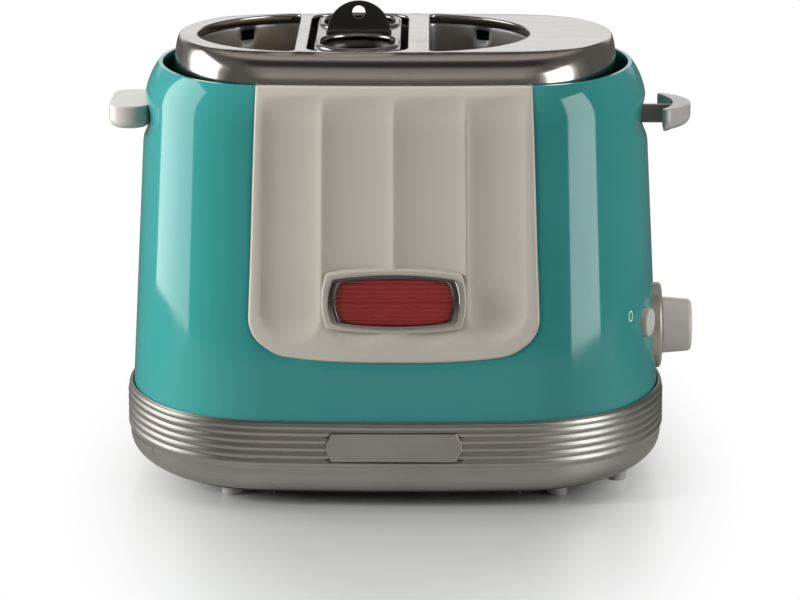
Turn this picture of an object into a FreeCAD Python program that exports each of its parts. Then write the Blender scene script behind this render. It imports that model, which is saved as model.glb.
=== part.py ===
"""Two-bun, two-sausage countertop hot dog maker, as separate sub-parts in one parametric document.

Millimetres, +Z up. The origin lies on the table under the middle of the whole object, handle to knob.
The front faces -Y, the lever and the control knob are at the +X end and the crumb tray at the -X end.
"""
import FreeCAD, Part
import math
import os

import Sketcher

SIZES = {
    # Body outline at the belt, where the shell meets the skirt: eight arcs, tangent all round
    "body_half_width": 131.8,
    "body_half_depth": 93.5,
    "front_crown_radius": 800.0,
    "side_crown_radius": 112.0,
    "body_corner_radius": 64.0,
    "belt_height": 45.0,
    # Body shell: drafted wall that rolls in to an open rim
    "shell_bottom": 38.0,
    "shoulder_height": 186.0,
    "shoulder_radius": 35.0,
    "rim_height": 205.5,
    "draft_angle": 3.0,
    "shell_wall": 2.2,
    # Finger scoops in both ends of the shell
    "scoop_height": 179.5,
    "scoop_half_length": 44.0,
    "scoop_half_height": 10.5,
    "scoop_depth": 5.0,
    # Front panel with its four flutes, set in a shallow recess of the shell
    "panel_top_half_width": 66.0,
    "panel_foot_half_width": 70.8,
    "panel_bottom": 73.0,
    "panel_corner_radius": 19.0,
    "panel_proud": 0.8,
    "panel_sunk": 1.2,
    "panel_seat_gap": 0.1,
    "panel_side_gap": 0.3,
    "flute_pitch": 34.0,
    "flute_depth": 1.3,
    "flute_foot": 82.0,
    # Badge on the front panel
    "badge_height": 102.6,
    "badge_half_width": 32.0,
    "badge_half_height": 13.1,
    "badge_corner_drop": 2.3,
    "badge_corner_radius": 2.5,
    "badge_seat_margin": 2.6,
    "badge_seat_rise": 0.5,
    "badge_frame_thickness": 2.6,
    "badge_end_border": 4.0,
    "badge_edge_border": 1.5,
    "lens_gap": 0.15,
    "lens_thickness": 2.2,
    "lens_rib_pitch": 2.3,
    "lens_rib_depth": 0.5,
    # Ribbed skirt round the foot of the body
    "skirt_lip_outset": 1.1,
    "skirt_lip_gap": 0.7,
    "skirt_groove_outset": 2.3,
    "skirt_band_outset": 2.0,
    "rib_pitch": 3.75,
    "rib_bulge": 0.75,
    "rib_zone_top": 44.3,
    "skirt_step": 0.9,
    "skirt_foot_radius": 11.0,
    "skirt_bottom": 7.5,
    "skirt_wall": 2.0,
    "skirt_flange": 8.0,
    "skirt_ledge": 2.8,
    # Bare name plate on the skirt
    "plate_half_width": 33.0,
    "plate_half_height": 7.25,
    "plate_height": 31.85,
    "plate_corner_inset": 2.8,
    "plate_thickness": 1.8,
    "plate_seat_gap": 0.3,
    # Base plate, its vents, feet and screws
    "base_inset": 1.5,
    "base_thickness": 1.5,
    "vent_length": 34.0,
    "vent_width": 3.0,
    "vent_pitch": 12.0,
    "vent_row": 24.0,
    "foot_top_radius": 5.3,
    "foot_bottom_radius": 4.8,
    "foot_x": 80.0,
    "foot_y": 63.2,
    "side_foot_x": 110.5,
    "side_foot_y": 36.0,
    "base_screw_x": 60.0,
    "base_screw_y": 77.2,
    "screw_radius": 1.5,
    "screw_head_radius": 2.8,
    "screw_head_height": 1.6,
    "screw_gap": 0.1,
    # Crumb tray, drawn out at the -X end
    "tray_half_width": 50.0,
    "tray_end_gap": 5.0,
    "tray_wall": 0.8,
    "tray_side": 9.0,
    "tray_gap": 0.3,
    "tray_front_half_width": 55.0,
    "tray_front_top": 20.6,
    "tray_front_gap": 0.4,
    "tray_front_depth": 19.8,
    # Top cover
    "cover_side_inset": 22.6,
    "cover_front_inset": 18.9,
    "cover_front_radius": 760.0,
    "cover_side_radius": 95.0,
    "cover_corner_radius": 50.0,
    "cover_top": 219.0,
    "cover_shoulder": 10.0,
    "cover_sheet": 0.8,
    "cover_bottom": 199.0,
    "opening_flange": 5.0,
    # Bun openings, D-shaped, and the sausage opening between them
    "bun_left_edge": 48.5,
    "bun_right_edge": 17.0,
    "bun_width": 49.4,
    "bun_radius": 57.5,
    "bun_corner_radius": 4.0,
    "sausage_left_edge": 42.5,
    "sausage_right_edge": 6.3,
    "sausage_half_depth": 58.0,
    "sausage_corner_radius": 13.0,
    # Wells of thin sheet below the openings
    "well_gap": 0.3,
    "well_sheet": 0.8,
    "window_half_width": 46.0,
    "window_margin": 7.0,
    "rack_slot_half_width": 3.5,
    "well_notch": 5.0,
    "well_notch_drop": 10.0,
    "well_notch_angle": 55.0,
    # Chassis of bent steel sheet
    "chassis_sheet": 1.2,
    "floor_height": 44.0,
    "floor_half_depth": 61.0,
    "left_plate_gap": 3.2,
    "right_plate_gap": 7.7,
    "plate_upper_half_width": 40.0,
    "plate_lower_half_width": 54.5,
    "plate_step_height": 60.0,
    "left_plate_top": 196.0,
    "tray_pass_gap": 1.2,
    "rod_flange_low": 28.0,
    "rod_flange_high": 196.0,
    "rod_flange_reach": 27.0,
    "rod_flange_half_width": 40.0,
    # Guide rods, carriage, lever and latch
    "rod_offset": 12.0,
    "rod_y": 14.0,
    "rod_radius": 2.0,
    "rod_fit": 0.05,
    "bush_radius": 3.8,
    "bush_length": 11.0,
    "carriage_offset": 6.0,
    "carriage_half_width": 19.0,
    "carriage_low": 112.0,
    "carriage_high": 185.0,
    "carriage_sheet": 1.5,
    "carriage_travel": 60.0,
    "spring_gap": 0.5,
    "spring_wire": 1.0,
    "latch_half_width": 8.5,
    "latch_sheet": 2.0,
    "latch_reach": 13.0,
    "latch_gap": 0.4,
    "core_half_width": 4.0,
    "coil_radius": 7.0,
    "coil_margin": 2.0,
    "arm_height": 9.0,
    "arm_low": 174.0,
    "arm_half_thickness": 1.5,
    "arm_tongue_length": 6.0,
    "arm_tongue_inset": 2.0,
    "arm_slot_gap": 1.2,
    "cap_low": 173.5,
    "cap_height": 11.0,
    "cap_half_length": 25.5,
    "cap_depth": 15.1,
    "cap_clearance": 6.85,
    "cap_thickness": 9.0,
    "cap_edge_radius": 1.6,
    "cap_tip_width": 4.4,
    "cap_tip_radius": 1.8,
    "cap_fit": 0.05,
    # Racks on the carriage
    "rack_top": 124.0,
    "rack_bar_height": 9.0,
    "rack_bar_half_thickness": 1.25,
    "rack_end_margin": 5.9,
    "rest_strip_width": 4.0,
    "rest_strip_thickness": 1.5,
    "rest_strip_pitch": 14.0,
    "rest_clearance": 4.0,
    "rest_lip": 5.0,
    "basket_rest_half_width": 12.0,
    "basket_rest_half_depth": 50.0,
    # Sausage basket, lifted out at the top
    "basket_plate_half_width": 20.9,
    "basket_plate_half_depth": 55.8,
    "basket_plate_corner": 11.0,
    "basket_plate_thickness": 1.6,
    "basket_seat_drop": 0.4,
    "basket_floor": 1.0,
    "cup_half_width": 17.5,
    "cup_half_depth": 22.3,
    "cup_centre": 32.0,
    "cup_rim_radius": 1.4,
    "cup_sheet": 0.8,
    "cup_window_width": 7.0,
    "cup_window_pitch": 11.0,
    "cup_window_margin": 9.0,
    "cup_drain_radius": 6.0,
    "grip_radius": 16.2,
    "grip_half_thickness": 1.0,
    "grip_hole_radius": 3.2,
    "grip_hole_height": 10.6,
    "grip_foot_half_depth": 4.0,
    "grip_foot_height": 1.6,
    # Heater cards between the wells
    "card_sheet": 0.6,
    "card_half_width": 50.0,
    "card_top": 212.0,
    "ribbon_thickness": 0.3,
    "ribbon_width": 2.0,
    "ribbon_pitch": 14.0,
    "ribbon_inset": 3.0,
    "guard_wire_radius": 0.6,
    "guard_pitch": 16.0,
    # Carrying handle at the -X end
    "handle_overhang": 9.5,
    "handle_half_length": 25.0,
    "handle_low": 174.3,
    "handle_height": 11.6,
    "handle_edge_radius": 3.4,
    "handle_corner_radius": 8.0,
    "handle_seat_gap": 0.7,
    "handle_screw_y": 10.0,
    "handle_screw_depth": 8.0,
    # Browning control
    "knob_height": 70.2,
    "knob_length": 14.8,
    "knob_gap": 0.4,
    "knob_base_radius": 14.2,
    "knob_end_radius": 12.9,
    "knob_edge_radius": 2.5,
    "ring_radius": 21.5,
    "ring_thickness": 7.5,
    "ring_sunk": 5.8,
    "ring_edge_radius": 1.6,
    "ring_gap": 0.3,
    "shaft_radius": 3.0,
    "shaft_fit": 0.05,
    "shaft_sunk": 10.0,
    "timer_depth": 15.0,
    "timer_half_width": 17.0,
    "timer_bush_radius": 6.0,
    "timer_bush_length": 3.0,
    # Cancel button on the front corner of the +X end
    "button_height": 80.5,
    "button_angle": 19.6,
    "button_radius": 7.0,
    "button_rise": 3.5,
    "button_edge_radius": 1.2,
    "button_skirt": 6.0,
    "button_gap": 0.25,
    "button_travel": 1.5,
    "button_stem_radius": 2.5,
    "boss_wall": 1.5,
    "boss_start": 1.2,
    "boss_length": 12.0,
    "switch_length": 5.0,
    "switch_half_width": 8.0,
    # Circuit board
    "board_offset": 25.0,
    "board_thickness": 1.6,
    "board_half_width": 38.0,
    "board_top": 96.0,
    "relay_size": 14.0,
    "capacitor_radius": 4.5,
    # Terminal block behind the tray
    "terminal_x": 46.0,
    "terminal_y": 58.5,
    "terminal_size": 14.0,
    # Cord inlet at the rear of the skirt
    "inlet_x": 40.0,
    "inlet_height": 28.0,
    "inlet_radius": 5.5,
    "inlet_bore": 3.2,
    "inlet_flange_radius": 8.0,
    "inlet_flange": 2.0,
    "inlet_gap": 0.1,
    # Overrun of every cutter past the face that it opens
    "overrun": 4.0,
}


class Size:
    """A length or angle that carries its value and the sheet expression that gives it."""

    def __init__(self, value, text):
        self.value = value
        self.text = text

    def _join(self, other, sign, value):
        return Size(value, f"({self.text} {sign} {as_size(other).text})")

    def __add__(self, other):
        return self._join(other, "+", self.value + as_size(other).value)

    def __sub__(self, other):
        return self._join(other, "-", self.value - as_size(other).value)

    def __mul__(self, other):
        return self._join(other, "*", self.value * as_size(other).value)

    def __truediv__(self, other):
        return self._join(other, "/", self.value / as_size(other).value)

    def __radd__(self, other):
        return as_size(other) + self

    def __rsub__(self, other):
        return as_size(other) - self

    def __rmul__(self, other):
        return as_size(other) * self

    def __neg__(self):
        return Size(-self.value, f"(0 - {self.text})")


def as_size(value):
    """Return value as a Size, whether it is one or a plain number."""
    return value if isinstance(value, Size) else Size(float(value), repr(float(value)))


def root(size):
    """Return the square root of a size."""
    return Size(math.sqrt(size.value), f"sqrt({size.text})")


def sine(angle):
    """Return the sine of an angle in degrees."""
    return Size(math.sin(math.radians(angle.value)), f"sin({angle.text})")


def cosine(angle):
    """Return the cosine of an angle in degrees."""
    return Size(math.cos(math.radians(angle.value)), f"cos({angle.text})")


doc = FreeCAD.newDocument("HotDogMaker")


def make_sheet():
    """Write the driving sizes into the sheet and return them by name."""
    sheet = doc.addObject("Spreadsheet::Sheet", "Sizes")
    for row, (name, value) in enumerate(SIZES.items(), start=1):
        sheet.set(f"A{row}", name.replace("_", " "))
        sheet.set(f"B{row}", str(value))
        sheet.setAlias(f"B{row}", name)
    doc.recompute()
    return {name: Size(float(sheet.get(name)), f"Sizes.{name}") for name in SIZES}


S = make_sheet()


def add_places():
    """Work out the places that follow from other pieces, and keep them among the sizes."""
    well = S["cover_sheet"] + S["well_gap"] + S["well_sheet"] + S["bun_width"]
    right = S["bun_right_edge"] + well + S["right_plate_gap"]
    S["left_plate_x"] = S["bun_left_edge"] + well + S["left_plate_gap"]
    S["right_plate_x"] = right
    S["board_x"] = right + S["board_offset"]
    S["rod_x"] = right + S["rod_offset"]
    S["carriage_x"] = right + S["carriage_offset"]
    S["rack_end"] = S["bun_left_edge"] + S["bun_width"] - S["rack_end_margin"]
    S["tray_end"] = right - S["tray_end_gap"]
    wide = S["body_half_width"]
    S["tray_start"] = wide - S["tray_front_depth"]
    S["cover_half_width"] = wide - S["cover_side_inset"]
    S["cover_half_depth"] = S["body_half_depth"] - S["cover_front_inset"]
    S["handle_reach"] = wide + S["handle_overhang"]
    S["ring_back"] = wide - S["ring_sunk"]
    S["ring_face"] = S["ring_back"] + S["ring_thickness"]
    S["knob_base"] = S["ring_face"] + S["knob_gap"]
    S["knob_reach"] = S["knob_base"] + S["knob_length"]


add_places()
AXIS_X = (S["handle_reach"] - S["knob_reach"]) / 2
NODES = []
# Two radii come this near the distance of an arc's ends when it is a half circle
HALF_TURN_SLACK = 1e-6


def bind(thing, prop, size):
    """Set a property from a size, through the sheet where it isn't zero."""
    size = as_size(size)
    if size.text == "0.0":
        return
    thing.setExpression(prop, size.text)


def place(thing, x=0, y=0, z=0):
    """Bind where a thing stands."""
    for axis, size in zip("xyz", (x, y, z)):
        bind(thing, f".Placement.Base.{axis}", size)


def node(thing, label, x=0, y=0, z=0):
    """Name a finished sub-part, stand it in the object's frame and keep it for writing."""
    thing.Label = label
    place(thing, AXIS_X + x, y, z)
    NODES.append(thing)
    return thing


def box(name, x, y, z):
    """Return a box between three pairs of low and high sizes."""
    solid = doc.addObject("Part::Box", name)
    for prop, (low, high) in zip(("Length", "Width", "Height"), (x, y, z)):
        bind(solid, prop, as_size(high) - as_size(low))
    place(solid, x[0], y[0], z[0])
    return solid


def box_node(label, x, y, z):
    """Build a sub-part that is one box between two sizes along each axis."""
    return node(box(label.title().replace("_", ""), x, y, z), label, x[0], y[0], z[0])


TURNS = {
    "z": FreeCAD.Rotation(),
    "x": FreeCAD.Rotation(FreeCAD.Vector(0, 1, 0), 90),
    "y": FreeCAD.Rotation(FreeCAD.Vector(1, 0, 0), -90),
}


def cylinder(name, radius, length, axis="z", x=0, y=0, z=0):
    """Return a cylinder that starts at a point and runs along an axis."""
    solid = doc.addObject("Part::Cylinder", name)
    bind(solid, "Radius", radius)
    bind(solid, "Height", length)
    solid.Placement.Rotation = TURNS[axis]
    place(solid, x, y, z)
    return solid


def join(name, *things):
    """Return the union of several things."""
    union = doc.addObject("Part::MultiFuse", name)
    union.Shapes = list(things)
    union.Refine = True
    return union


def cut(name, base, *tools):
    """Return base without its tools."""
    result = doc.addObject("Part::Cut", name)
    result.Base = base
    result.Tool = tools[0] if len(tools) == 1 else join(f"{name}Tools", *tools)
    result.Refine = True
    return result


def common(name, base, tool):
    """Return what base and tool share."""
    result = doc.addObject("Part::Common", name)
    result.Base = base
    result.Tool = tool
    result.Refine = True
    return result


def group(name, *things):
    """Return several separate solids as one thing."""
    result = doc.addObject("Part::Compound", name)
    result.Links = list(things)
    return result


def body(name):
    """Return a new PartDesign body."""
    return doc.addObject("PartDesign::Body", name)


def sketch(owner, name, role="XY_Plane", lift=0):
    """Return a sketch on one of the body's origin planes, lifted along the plane's normal."""
    drawing = owner.newObject("Sketcher::SketchObject", name)
    plane = next(item for item in owner.Origin.OriginFeatures if item.Role == role)
    drawing.AttachmentSupport = (plane, "")
    drawing.MapMode = "FlatFace"
    bind(drawing, ".AttachmentOffset.Base.z", lift)
    return drawing


def dimension(drawing, kind, *places, size):
    """Add a dimension to a sketch and bind it to a size."""
    index = drawing.addConstraint(Sketcher.Constraint(kind, *places, as_size(size).value))
    name = f"dim{index}"
    drawing.renameConstraint(index, name)
    bind(drawing, f"Constraints.{name}", size)


def pin_axis(drawing, kind, item, end, size):
    """Fix one coordinate of a sketch's point at a size from its origin."""
    if size.text == "0.0":
        axis = -2 if kind == "DistanceX" else -1
        drawing.addConstraint(Sketcher.Constraint("PointOnObject", item, end, axis))
    elif size.value < 0:
        dimension(drawing, kind, item, end, -1, 1, size=-size)
    else:
        dimension(drawing, kind, -1, 1, item, end, size=size)


def pin_point(drawing, item, end, x, y):
    """Fix a point of a sketch at two sizes from its origin."""
    pin_axis(drawing, "DistanceX", item, end, as_size(x))
    pin_axis(drawing, "DistanceY", item, end, as_size(y))


def chain(drawing, points):
    """Draw a closed outline through points given as sizes.

    A point is (x, y), or (x, y, radius, turn) where the stretch to the next point is an arc of that
    radius, whose centre lies to the left of the way it runs (turn 1) or to the right of it (turn -1).
    """
    flat = [FreeCAD.Vector(as_size(p[0]).value, as_size(p[1]).value, 0) for p in points]
    first = drawing.GeometryCount
    count = len(points)
    ends = []
    for index, point in enumerate(points):
        start, stop = flat[index], flat[(index + 1) % count]
        if len(point) == 2:
            drawing.addGeometry(Part.LineSegment(start, stop), False)
            ends.append((1, 2))
            continue
        radius, turn = point[2].value, point[3]
        along = stop - start
        middle = (start + stop) / 2
        depth = math.sqrt(max(radius**2 - (along.Length / 2) ** 2, 0))
        normal = FreeCAD.Vector(-along.y, along.x, 0).normalize()
        centre = middle + normal * (depth * turn)
        ends.append((1, 2) if turn > 0 else (2, 1))
        low, high = (start, stop) if turn > 0 else (stop, start)
        angles = [math.atan2(end.y - centre.y, end.x - centre.x) for end in (low, high)]
        if angles[1] < angles[0]:
            angles[1] += 2 * math.pi
        drawing.addGeometry(arc(centre.x, centre.y, radius, *angles), False)
    for index, point in enumerate(points):
        follower = (index + 1) % count
        drawing.addConstraint(
            Sketcher.Constraint(
                "Coincident", first + index, ends[index][1], first + follower, ends[follower][0]
            )
        )
        pin_point(drawing, first + index, ends[index][0], point[0], point[1])
        if len(point) == 2:
            continue
        chord = flat[follower] - flat[index]
        if chord.Length < 2 * point[2].value - HALF_TURN_SLACK:
            dimension(drawing, "Radius", first + index, size=point[2])
        elif abs(chord.x) > abs(chord.y):
            pin_axis(drawing, "DistanceY", first + index, 3, as_size(point[1]))
        else:
            pin_axis(drawing, "DistanceX", first + index, 3, as_size(point[0]))


def rectangle(drawing, x, y):
    """Draw a rectangle between two pairs of low and high sizes."""
    chain(drawing, [(x[0], y[0]), (x[1], y[0]), (x[1], y[1]), (x[0], y[1])])


def arc(x, y, radius, start, end):
    """Return an arc of a circle, anticlockwise between two angles in radians."""
    circle = Part.Circle(FreeCAD.Vector(x, y, 0), FreeCAD.Vector(0, 0, 1), radius)
    return Part.ArcOfCircle(circle, start, end)


def circle(drawing, x, y, radius):
    """Draw a circle about a point."""
    centre = FreeCAD.Vector(as_size(x).value, as_size(y).value, 0)
    index = drawing.addGeometry(Part.Circle(centre, FreeCAD.Vector(0, 0, 1), radius.value), False)
    dimension(drawing, "Radius", index, size=radius)
    pin_point(drawing, index, 3, x, y)


def tangent_ring(drawing, count, first=0):
    """Make each of several curves run on smoothly into the next, and the last into the first."""
    for index in range(count):
        follower = first + (index + 1) % count
        drawing.addConstraint(Sketcher.Constraint("Tangent", first + index, 2, follower, 1))


def oval(drawing, half_width, half_depth, front_radius, side_radius, corner_radius):
    """Draw the eight-arc oval, whose arc at the +X end is in two halves that meet on the X axis."""
    front_low = (front_radius - half_depth).value
    side_x = (half_width - side_radius).value
    reach = math.hypot(side_x, front_low)
    to_front = (front_radius - corner_radius).value
    to_side = (side_radius - corner_radius).value
    along = (to_front**2 - to_side**2 + reach**2) / (2 * reach)
    across = math.sqrt(to_front**2 - along**2)
    corner_x = (along * side_x + across * front_low) / reach
    corner_y = -front_low + (along * front_low - across * side_x) / reach
    lean = math.atan2(corner_y + front_low, corner_x)
    turn = math.atan2(corner_y, corner_x - side_x)
    half = math.pi
    radius = corner_radius.value
    drawing.addGeometry(
        [
            arc(side_x, 0, side_radius.value, 0, turn),
            arc(corner_x, corner_y, radius, turn, lean),
            arc(0, -front_low, front_radius.value, lean, half - lean),
            arc(-corner_x, corner_y, radius, half - lean, half - turn),
            arc(-side_x, 0, side_radius.value, half - turn, half + turn),
            arc(-corner_x, -corner_y, radius, half + turn, half + lean),
            arc(0, front_low, front_radius.value, half + lean, 2 * half - lean),
            arc(corner_x, -corner_y, radius, 2 * half - lean, 2 * half - turn),
            arc(side_x, 0, side_radius.value, 2 * half - turn, 2 * half),
        ],
        False,
    )
    rule = Sketcher.Constraint
    rules = [rule("Tangent", index, 2, index + 1, 1) for index in range(8)]
    rules += [rule("Coincident", 8, 2, 0, 1), rule("Coincident", 8, 3, 0, 3)]
    rules += [rule("PointOnObject", 0, 1, -1), rule("PointOnObject", 0, 3, -1)]
    rules += [rule("PointOnObject", 4, 3, -1)]
    rules += [rule("PointOnObject", 2, 3, -2), rule("PointOnObject", 6, 3, -2)]
    rules += [rule("Equal", 2, 6), rule("Equal", 0, 4)]
    rules += [rule("Equal", 1, corner) for corner in (3, 5, 7)]
    drawing.addConstraint(rules)
    dimension(drawing, "Radius", 2, size=front_radius)
    dimension(drawing, "Radius", 0, size=side_radius)
    dimension(drawing, "Radius", 1, size=corner_radius)
    dimension(drawing, "DistanceX", -1, 1, 0, 1, size=half_width)
    dimension(drawing, "DistanceX", 4, 3, -1, 1, size=half_width - side_radius)
    dimension(drawing, "DistanceY", 2, 3, -1, 1, size=front_radius - half_depth)
    dimension(drawing, "DistanceY", -1, 1, 6, 3, size=front_radius - half_depth)


def body_oval(drawing, outset=0):
    """Draw the body's outline at the belt, moved outwards by outset."""
    oval(
        drawing,
        S["body_half_width"] + outset,
        S["body_half_depth"] + outset,
        S["front_crown_radius"] + outset,
        S["side_crown_radius"] + outset,
        S["body_corner_radius"] + outset,
    )


def cover_oval(drawing, outset=0):
    """Draw the top cover's outline, moved outwards by outset."""
    oval(
        drawing,
        S["cover_half_width"] + outset,
        S["cover_half_depth"] + outset,
        S["cover_front_radius"] + outset,
        S["cover_side_radius"] + outset,
        S["cover_corner_radius"] + outset,
    )


def dee(drawing, edge, side, grow=0):
    """Draw a bun opening: a straight edge at x = edge and one round arc on the given side of it."""
    line_x = edge - side * grow
    centre_x = edge + side * (S["bun_width"] - S["bun_radius"])
    big = S["bun_radius"] + grow
    small = S["bun_corner_radius"] + grow
    small_x = (line_x + side * small).value
    small_y = math.sqrt((big.value - small.value) ** 2 - (small_x - centre_x.value) ** 2)
    meet = math.atan2(small_y, (small_x - centre_x.value) * side)
    half = math.pi

    def turned(start, end):
        """Return the two angles as they are at +X, or mirrored for the -X side."""
        return (start, end) if side > 0 else (half - end, half - start)

    first = drawing.GeometryCount
    top = FreeCAD.Vector(line_x.value, small_y, 0)
    foot = FreeCAD.Vector(line_x.value, -small_y, 0)
    high = arc(small_x, small_y, small.value, *turned(meet, half))
    low = arc(small_x, -small_y, small.value, *turned(-half, -meet))
    round_arc = arc(centre_x.value, 0, big.value, *turned(-meet, meet))
    if side > 0:
        drawing.addGeometry([Part.LineSegment(top, foot), low, round_arc, high], False)
    else:
        drawing.addGeometry([Part.LineSegment(foot, top), high, round_arc, low], False)
    rule = Sketcher.Constraint
    tangent_ring(drawing, 4, first)
    drawing.addConstraint(rule("Vertical", first))
    drawing.addConstraint(rule("Equal", first + 1, first + 3))
    dimension(drawing, "Radius", first + 1, size=small)
    dimension(drawing, "Radius", first + 2, size=big)
    pin_point(drawing, first + 2, 3, centre_x, 0)
    if line_x.value > 0:
        dimension(drawing, "DistanceX", -1, 1, first, 1, size=line_x)
    else:
        dimension(drawing, "DistanceX", first, 1, -1, 1, size=-line_x)


def soft_rectangle(drawing, x, y, radius):
    """Draw a rectangle with round corners between two pairs of low and high sizes."""
    left, right = as_size(x[0]), as_size(x[1])
    low, high = as_size(y[0]), as_size(y[1])
    r = radius.value
    quarter = math.pi / 2
    first = drawing.GeometryCount
    corners = [
        (right.value - r, low.value + r, 3 * quarter, 4 * quarter),
        (right.value - r, high.value - r, 0, quarter),
        (left.value + r, high.value - r, quarter, 2 * quarter),
        (left.value + r, low.value + r, 2 * quarter, 3 * quarter),
    ]
    ends = [
        ((left.value + r, low.value), (right.value - r, low.value)),
        ((right.value, low.value + r), (right.value, high.value - r)),
        ((right.value - r, high.value), (left.value + r, high.value)),
        ((left.value, high.value - r), (left.value, low.value + r)),
    ]
    for (start, end), corner in zip(ends, corners):
        line = Part.LineSegment(FreeCAD.Vector(*start, 0), FreeCAD.Vector(*end, 0))
        drawing.addGeometry([line, arc(*corner[:2], r, *corner[2:])], False)
    tangent_ring(drawing, 8, first)
    rule = Sketcher.Constraint
    for offset, kind in ((0, "Horizontal"), (2, "Vertical"), (4, "Horizontal"), (6, "Vertical")):
        drawing.addConstraint(rule(kind, first + offset))
    for offset in (3, 5, 7):
        drawing.addConstraint(rule("Equal", first + 1, first + offset))
    dimension(drawing, "Radius", first + 1, size=radius)
    for offset, kind, size in (
        (0, "DistanceY", low),
        (2, "DistanceX", right),
        (4, "DistanceY", high),
        (6, "DistanceX", left),
    ):
        if size.value < 0:
            dimension(drawing, kind, first + offset, 1, -1, 1, size=-size)
        else:
            dimension(drawing, kind, -1, 1, first + offset, 1, size=size)


def pad(owner, drawing, length, name="Pad"):
    """Pad a sketch along its normal."""
    feature = owner.newObject("PartDesign::Pad", name)
    feature.Profile = drawing
    bind(feature, "Length", length)
    return feature


def padded(name, draw, low, high):
    """Return a body padded from z = low to z = high, with an outline drawn by a function."""
    owner = body(name)
    drawing = sketch(owner, f"{name}Outline", lift=low)
    draw(drawing)
    pad(owner, drawing, as_size(high) - as_size(low), f"{name}Pad")
    return owner


def sweep(owner, profile, path, name="Wall"):
    """Sweep a profile round a closed path."""
    feature = owner.newObject("PartDesign::AdditivePipe", name)
    feature.Profile = profile
    feature.Spine = path
    return feature


def fillet(owner, feature, radius, pick, name="Round"):
    """Round the edges of a body's feature that pick accepts."""
    doc.recompute()
    names = [f"Edge{i}" for i, edge in enumerate(feature.Shape.Edges, start=1) if pick(edge)]
    rounded = owner.newObject("PartDesign::Fillet", name)
    rounded.Base = (feature, names)
    bind(rounded, "Radius", radius)
    owner.Tip = rounded
    return rounded


# The shell's wall leans in by the draft angle and then rolls over on one arc about this point
LEAN_SINE = sine(S["draft_angle"])
LEAN_COSINE = cosine(S["draft_angle"])
ROLL_Z = S["shoulder_height"] - S["shoulder_radius"] * LEAN_SINE
ROLL_X = (
    S["body_half_width"]
    - (S["shoulder_radius"] + (ROLL_Z - S["belt_height"]) * LEAN_SINE) / LEAN_COSINE
)


def wall_x(z, outset=0):
    """Return how far from the axis the drafted wall stands at a height, at the +X end."""
    return ROLL_X + (S["shoulder_radius"] + outset - (z - ROLL_Z) * LEAN_SINE) / LEAN_COSINE


def wall_y(z, outset=0):
    """Return how far from the axis the drafted wall stands at a height, at the front."""
    return wall_x(z, outset) - S["body_half_width"] + S["body_half_depth"]


def shell_band(name, inner, outer, low, high):
    """Return a ring that follows the body's wall between two outsets and two heights."""
    owner = body(name)
    path = sketch(owner, f"{name}Path")
    body_oval(path)
    profile = sketch(owner, f"{name}Profile", "XZ_Plane")
    low, high = as_size(low), as_size(high)
    lean = math.radians(S["draft_angle"].value)
    first = profile.GeometryCount
    places = []
    for outset in (as_size(outer), as_size(inner)):
        radius = S["shoulder_radius"] + outset
        start = FreeCAD.Vector(wall_x(low, outset).value, low.value, 0)
        tangent_x = ROLL_X.value + radius.value * math.cos(lean)
        tangent_z = ROLL_Z.value + radius.value * math.sin(lean)
        end = math.asin((high - ROLL_Z).value / radius.value)
        profile.addGeometry(
            [
                Part.LineSegment(start, FreeCAD.Vector(tangent_x, tangent_z, 0)),
                arc(ROLL_X.value, ROLL_Z.value, radius.value, lean, end),
            ],
            False,
        )
        places.append((start, ROLL_X.value + radius.value * math.cos(end)))
    ends = [FreeCAD.Vector(x, high.value, 0) for _, x in places]
    profile.addGeometry(
        [Part.LineSegment(*ends), Part.LineSegment(places[1][0], places[0][0])], False
    )
    rule = Sketcher.Constraint
    for line, outset in ((first, as_size(outer)), (first + 2, as_size(inner))):
        profile.addConstraint(rule("Tangent", line, 2, line + 1, 1))
        dimension(profile, "Radius", line + 1, size=S["shoulder_radius"] + outset)
        pin_point(profile, line + 1, 3, ROLL_X, ROLL_Z)
        pin_point(profile, line, 1, wall_x(low, outset), low)
        dimension(profile, "DistanceY", -1, 1, line + 1, 2, size=high)
    profile.addConstraint(rule("Coincident", first + 4, 1, first + 1, 2))
    profile.addConstraint(rule("Coincident", first + 4, 2, first + 3, 2))
    profile.addConstraint(rule("Coincident", first + 5, 1, first + 2, 1))
    profile.addConstraint(rule("Coincident", first + 5, 2, first, 1))
    sweep(owner, profile, path, f"{name}Wall")
    return owner


ZERO = as_size(0)
OVER = S["overrun"]
BASE_LOW = S["skirt_bottom"] - S["base_thickness"]
FLOOR_TOP = S["floor_height"] + S["chassis_sheet"]
COVER_UNDER = S["cover_top"] - S["cover_sheet"]
FLANGE_TOP = S["rod_flange_low"] + S["chassis_sheet"]
WELL_IN = S["cover_sheet"] + S["well_gap"]
WELL_OUT = WELL_IN + S["well_sheet"]
SCOOP_X = wall_x(S["scoop_height"])
S["cap_tip"] = SCOOP_X + S["cap_clearance"]
S["cap_end"] = S["cap_tip"] + S["cap_depth"]


def scoop_ring(name, side, grow):
    """Return the ring whose inner side makes one scoop, grown by a size."""
    depth, reach = S["scoop_depth"], S["scoop_half_length"]
    tube = (S["scoop_half_height"] * S["scoop_half_height"] + depth * depth) / (2 * depth)
    crown = S["side_crown_radius"] - S["body_half_width"] + SCOOP_X
    wall_sag = crown - root(crown * crown - reach * reach)
    path_sag = wall_sag - depth
    bend = (reach * reach + path_sag * path_sag) / (2 * path_sag)
    ring = doc.addObject("Part::Torus", name)
    bind(ring, "Radius1", bend)
    bind(ring, "Radius2", tube + grow)
    place(ring, side * (SCOOP_X - depth + tube - bend), 0, S["scoop_height"])
    return ring


def button_crown():
    """Return the wall's radius in plan at the cancel button's height."""
    return S["side_crown_radius"] - S["body_half_width"] + wall_x(S["button_height"])


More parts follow.
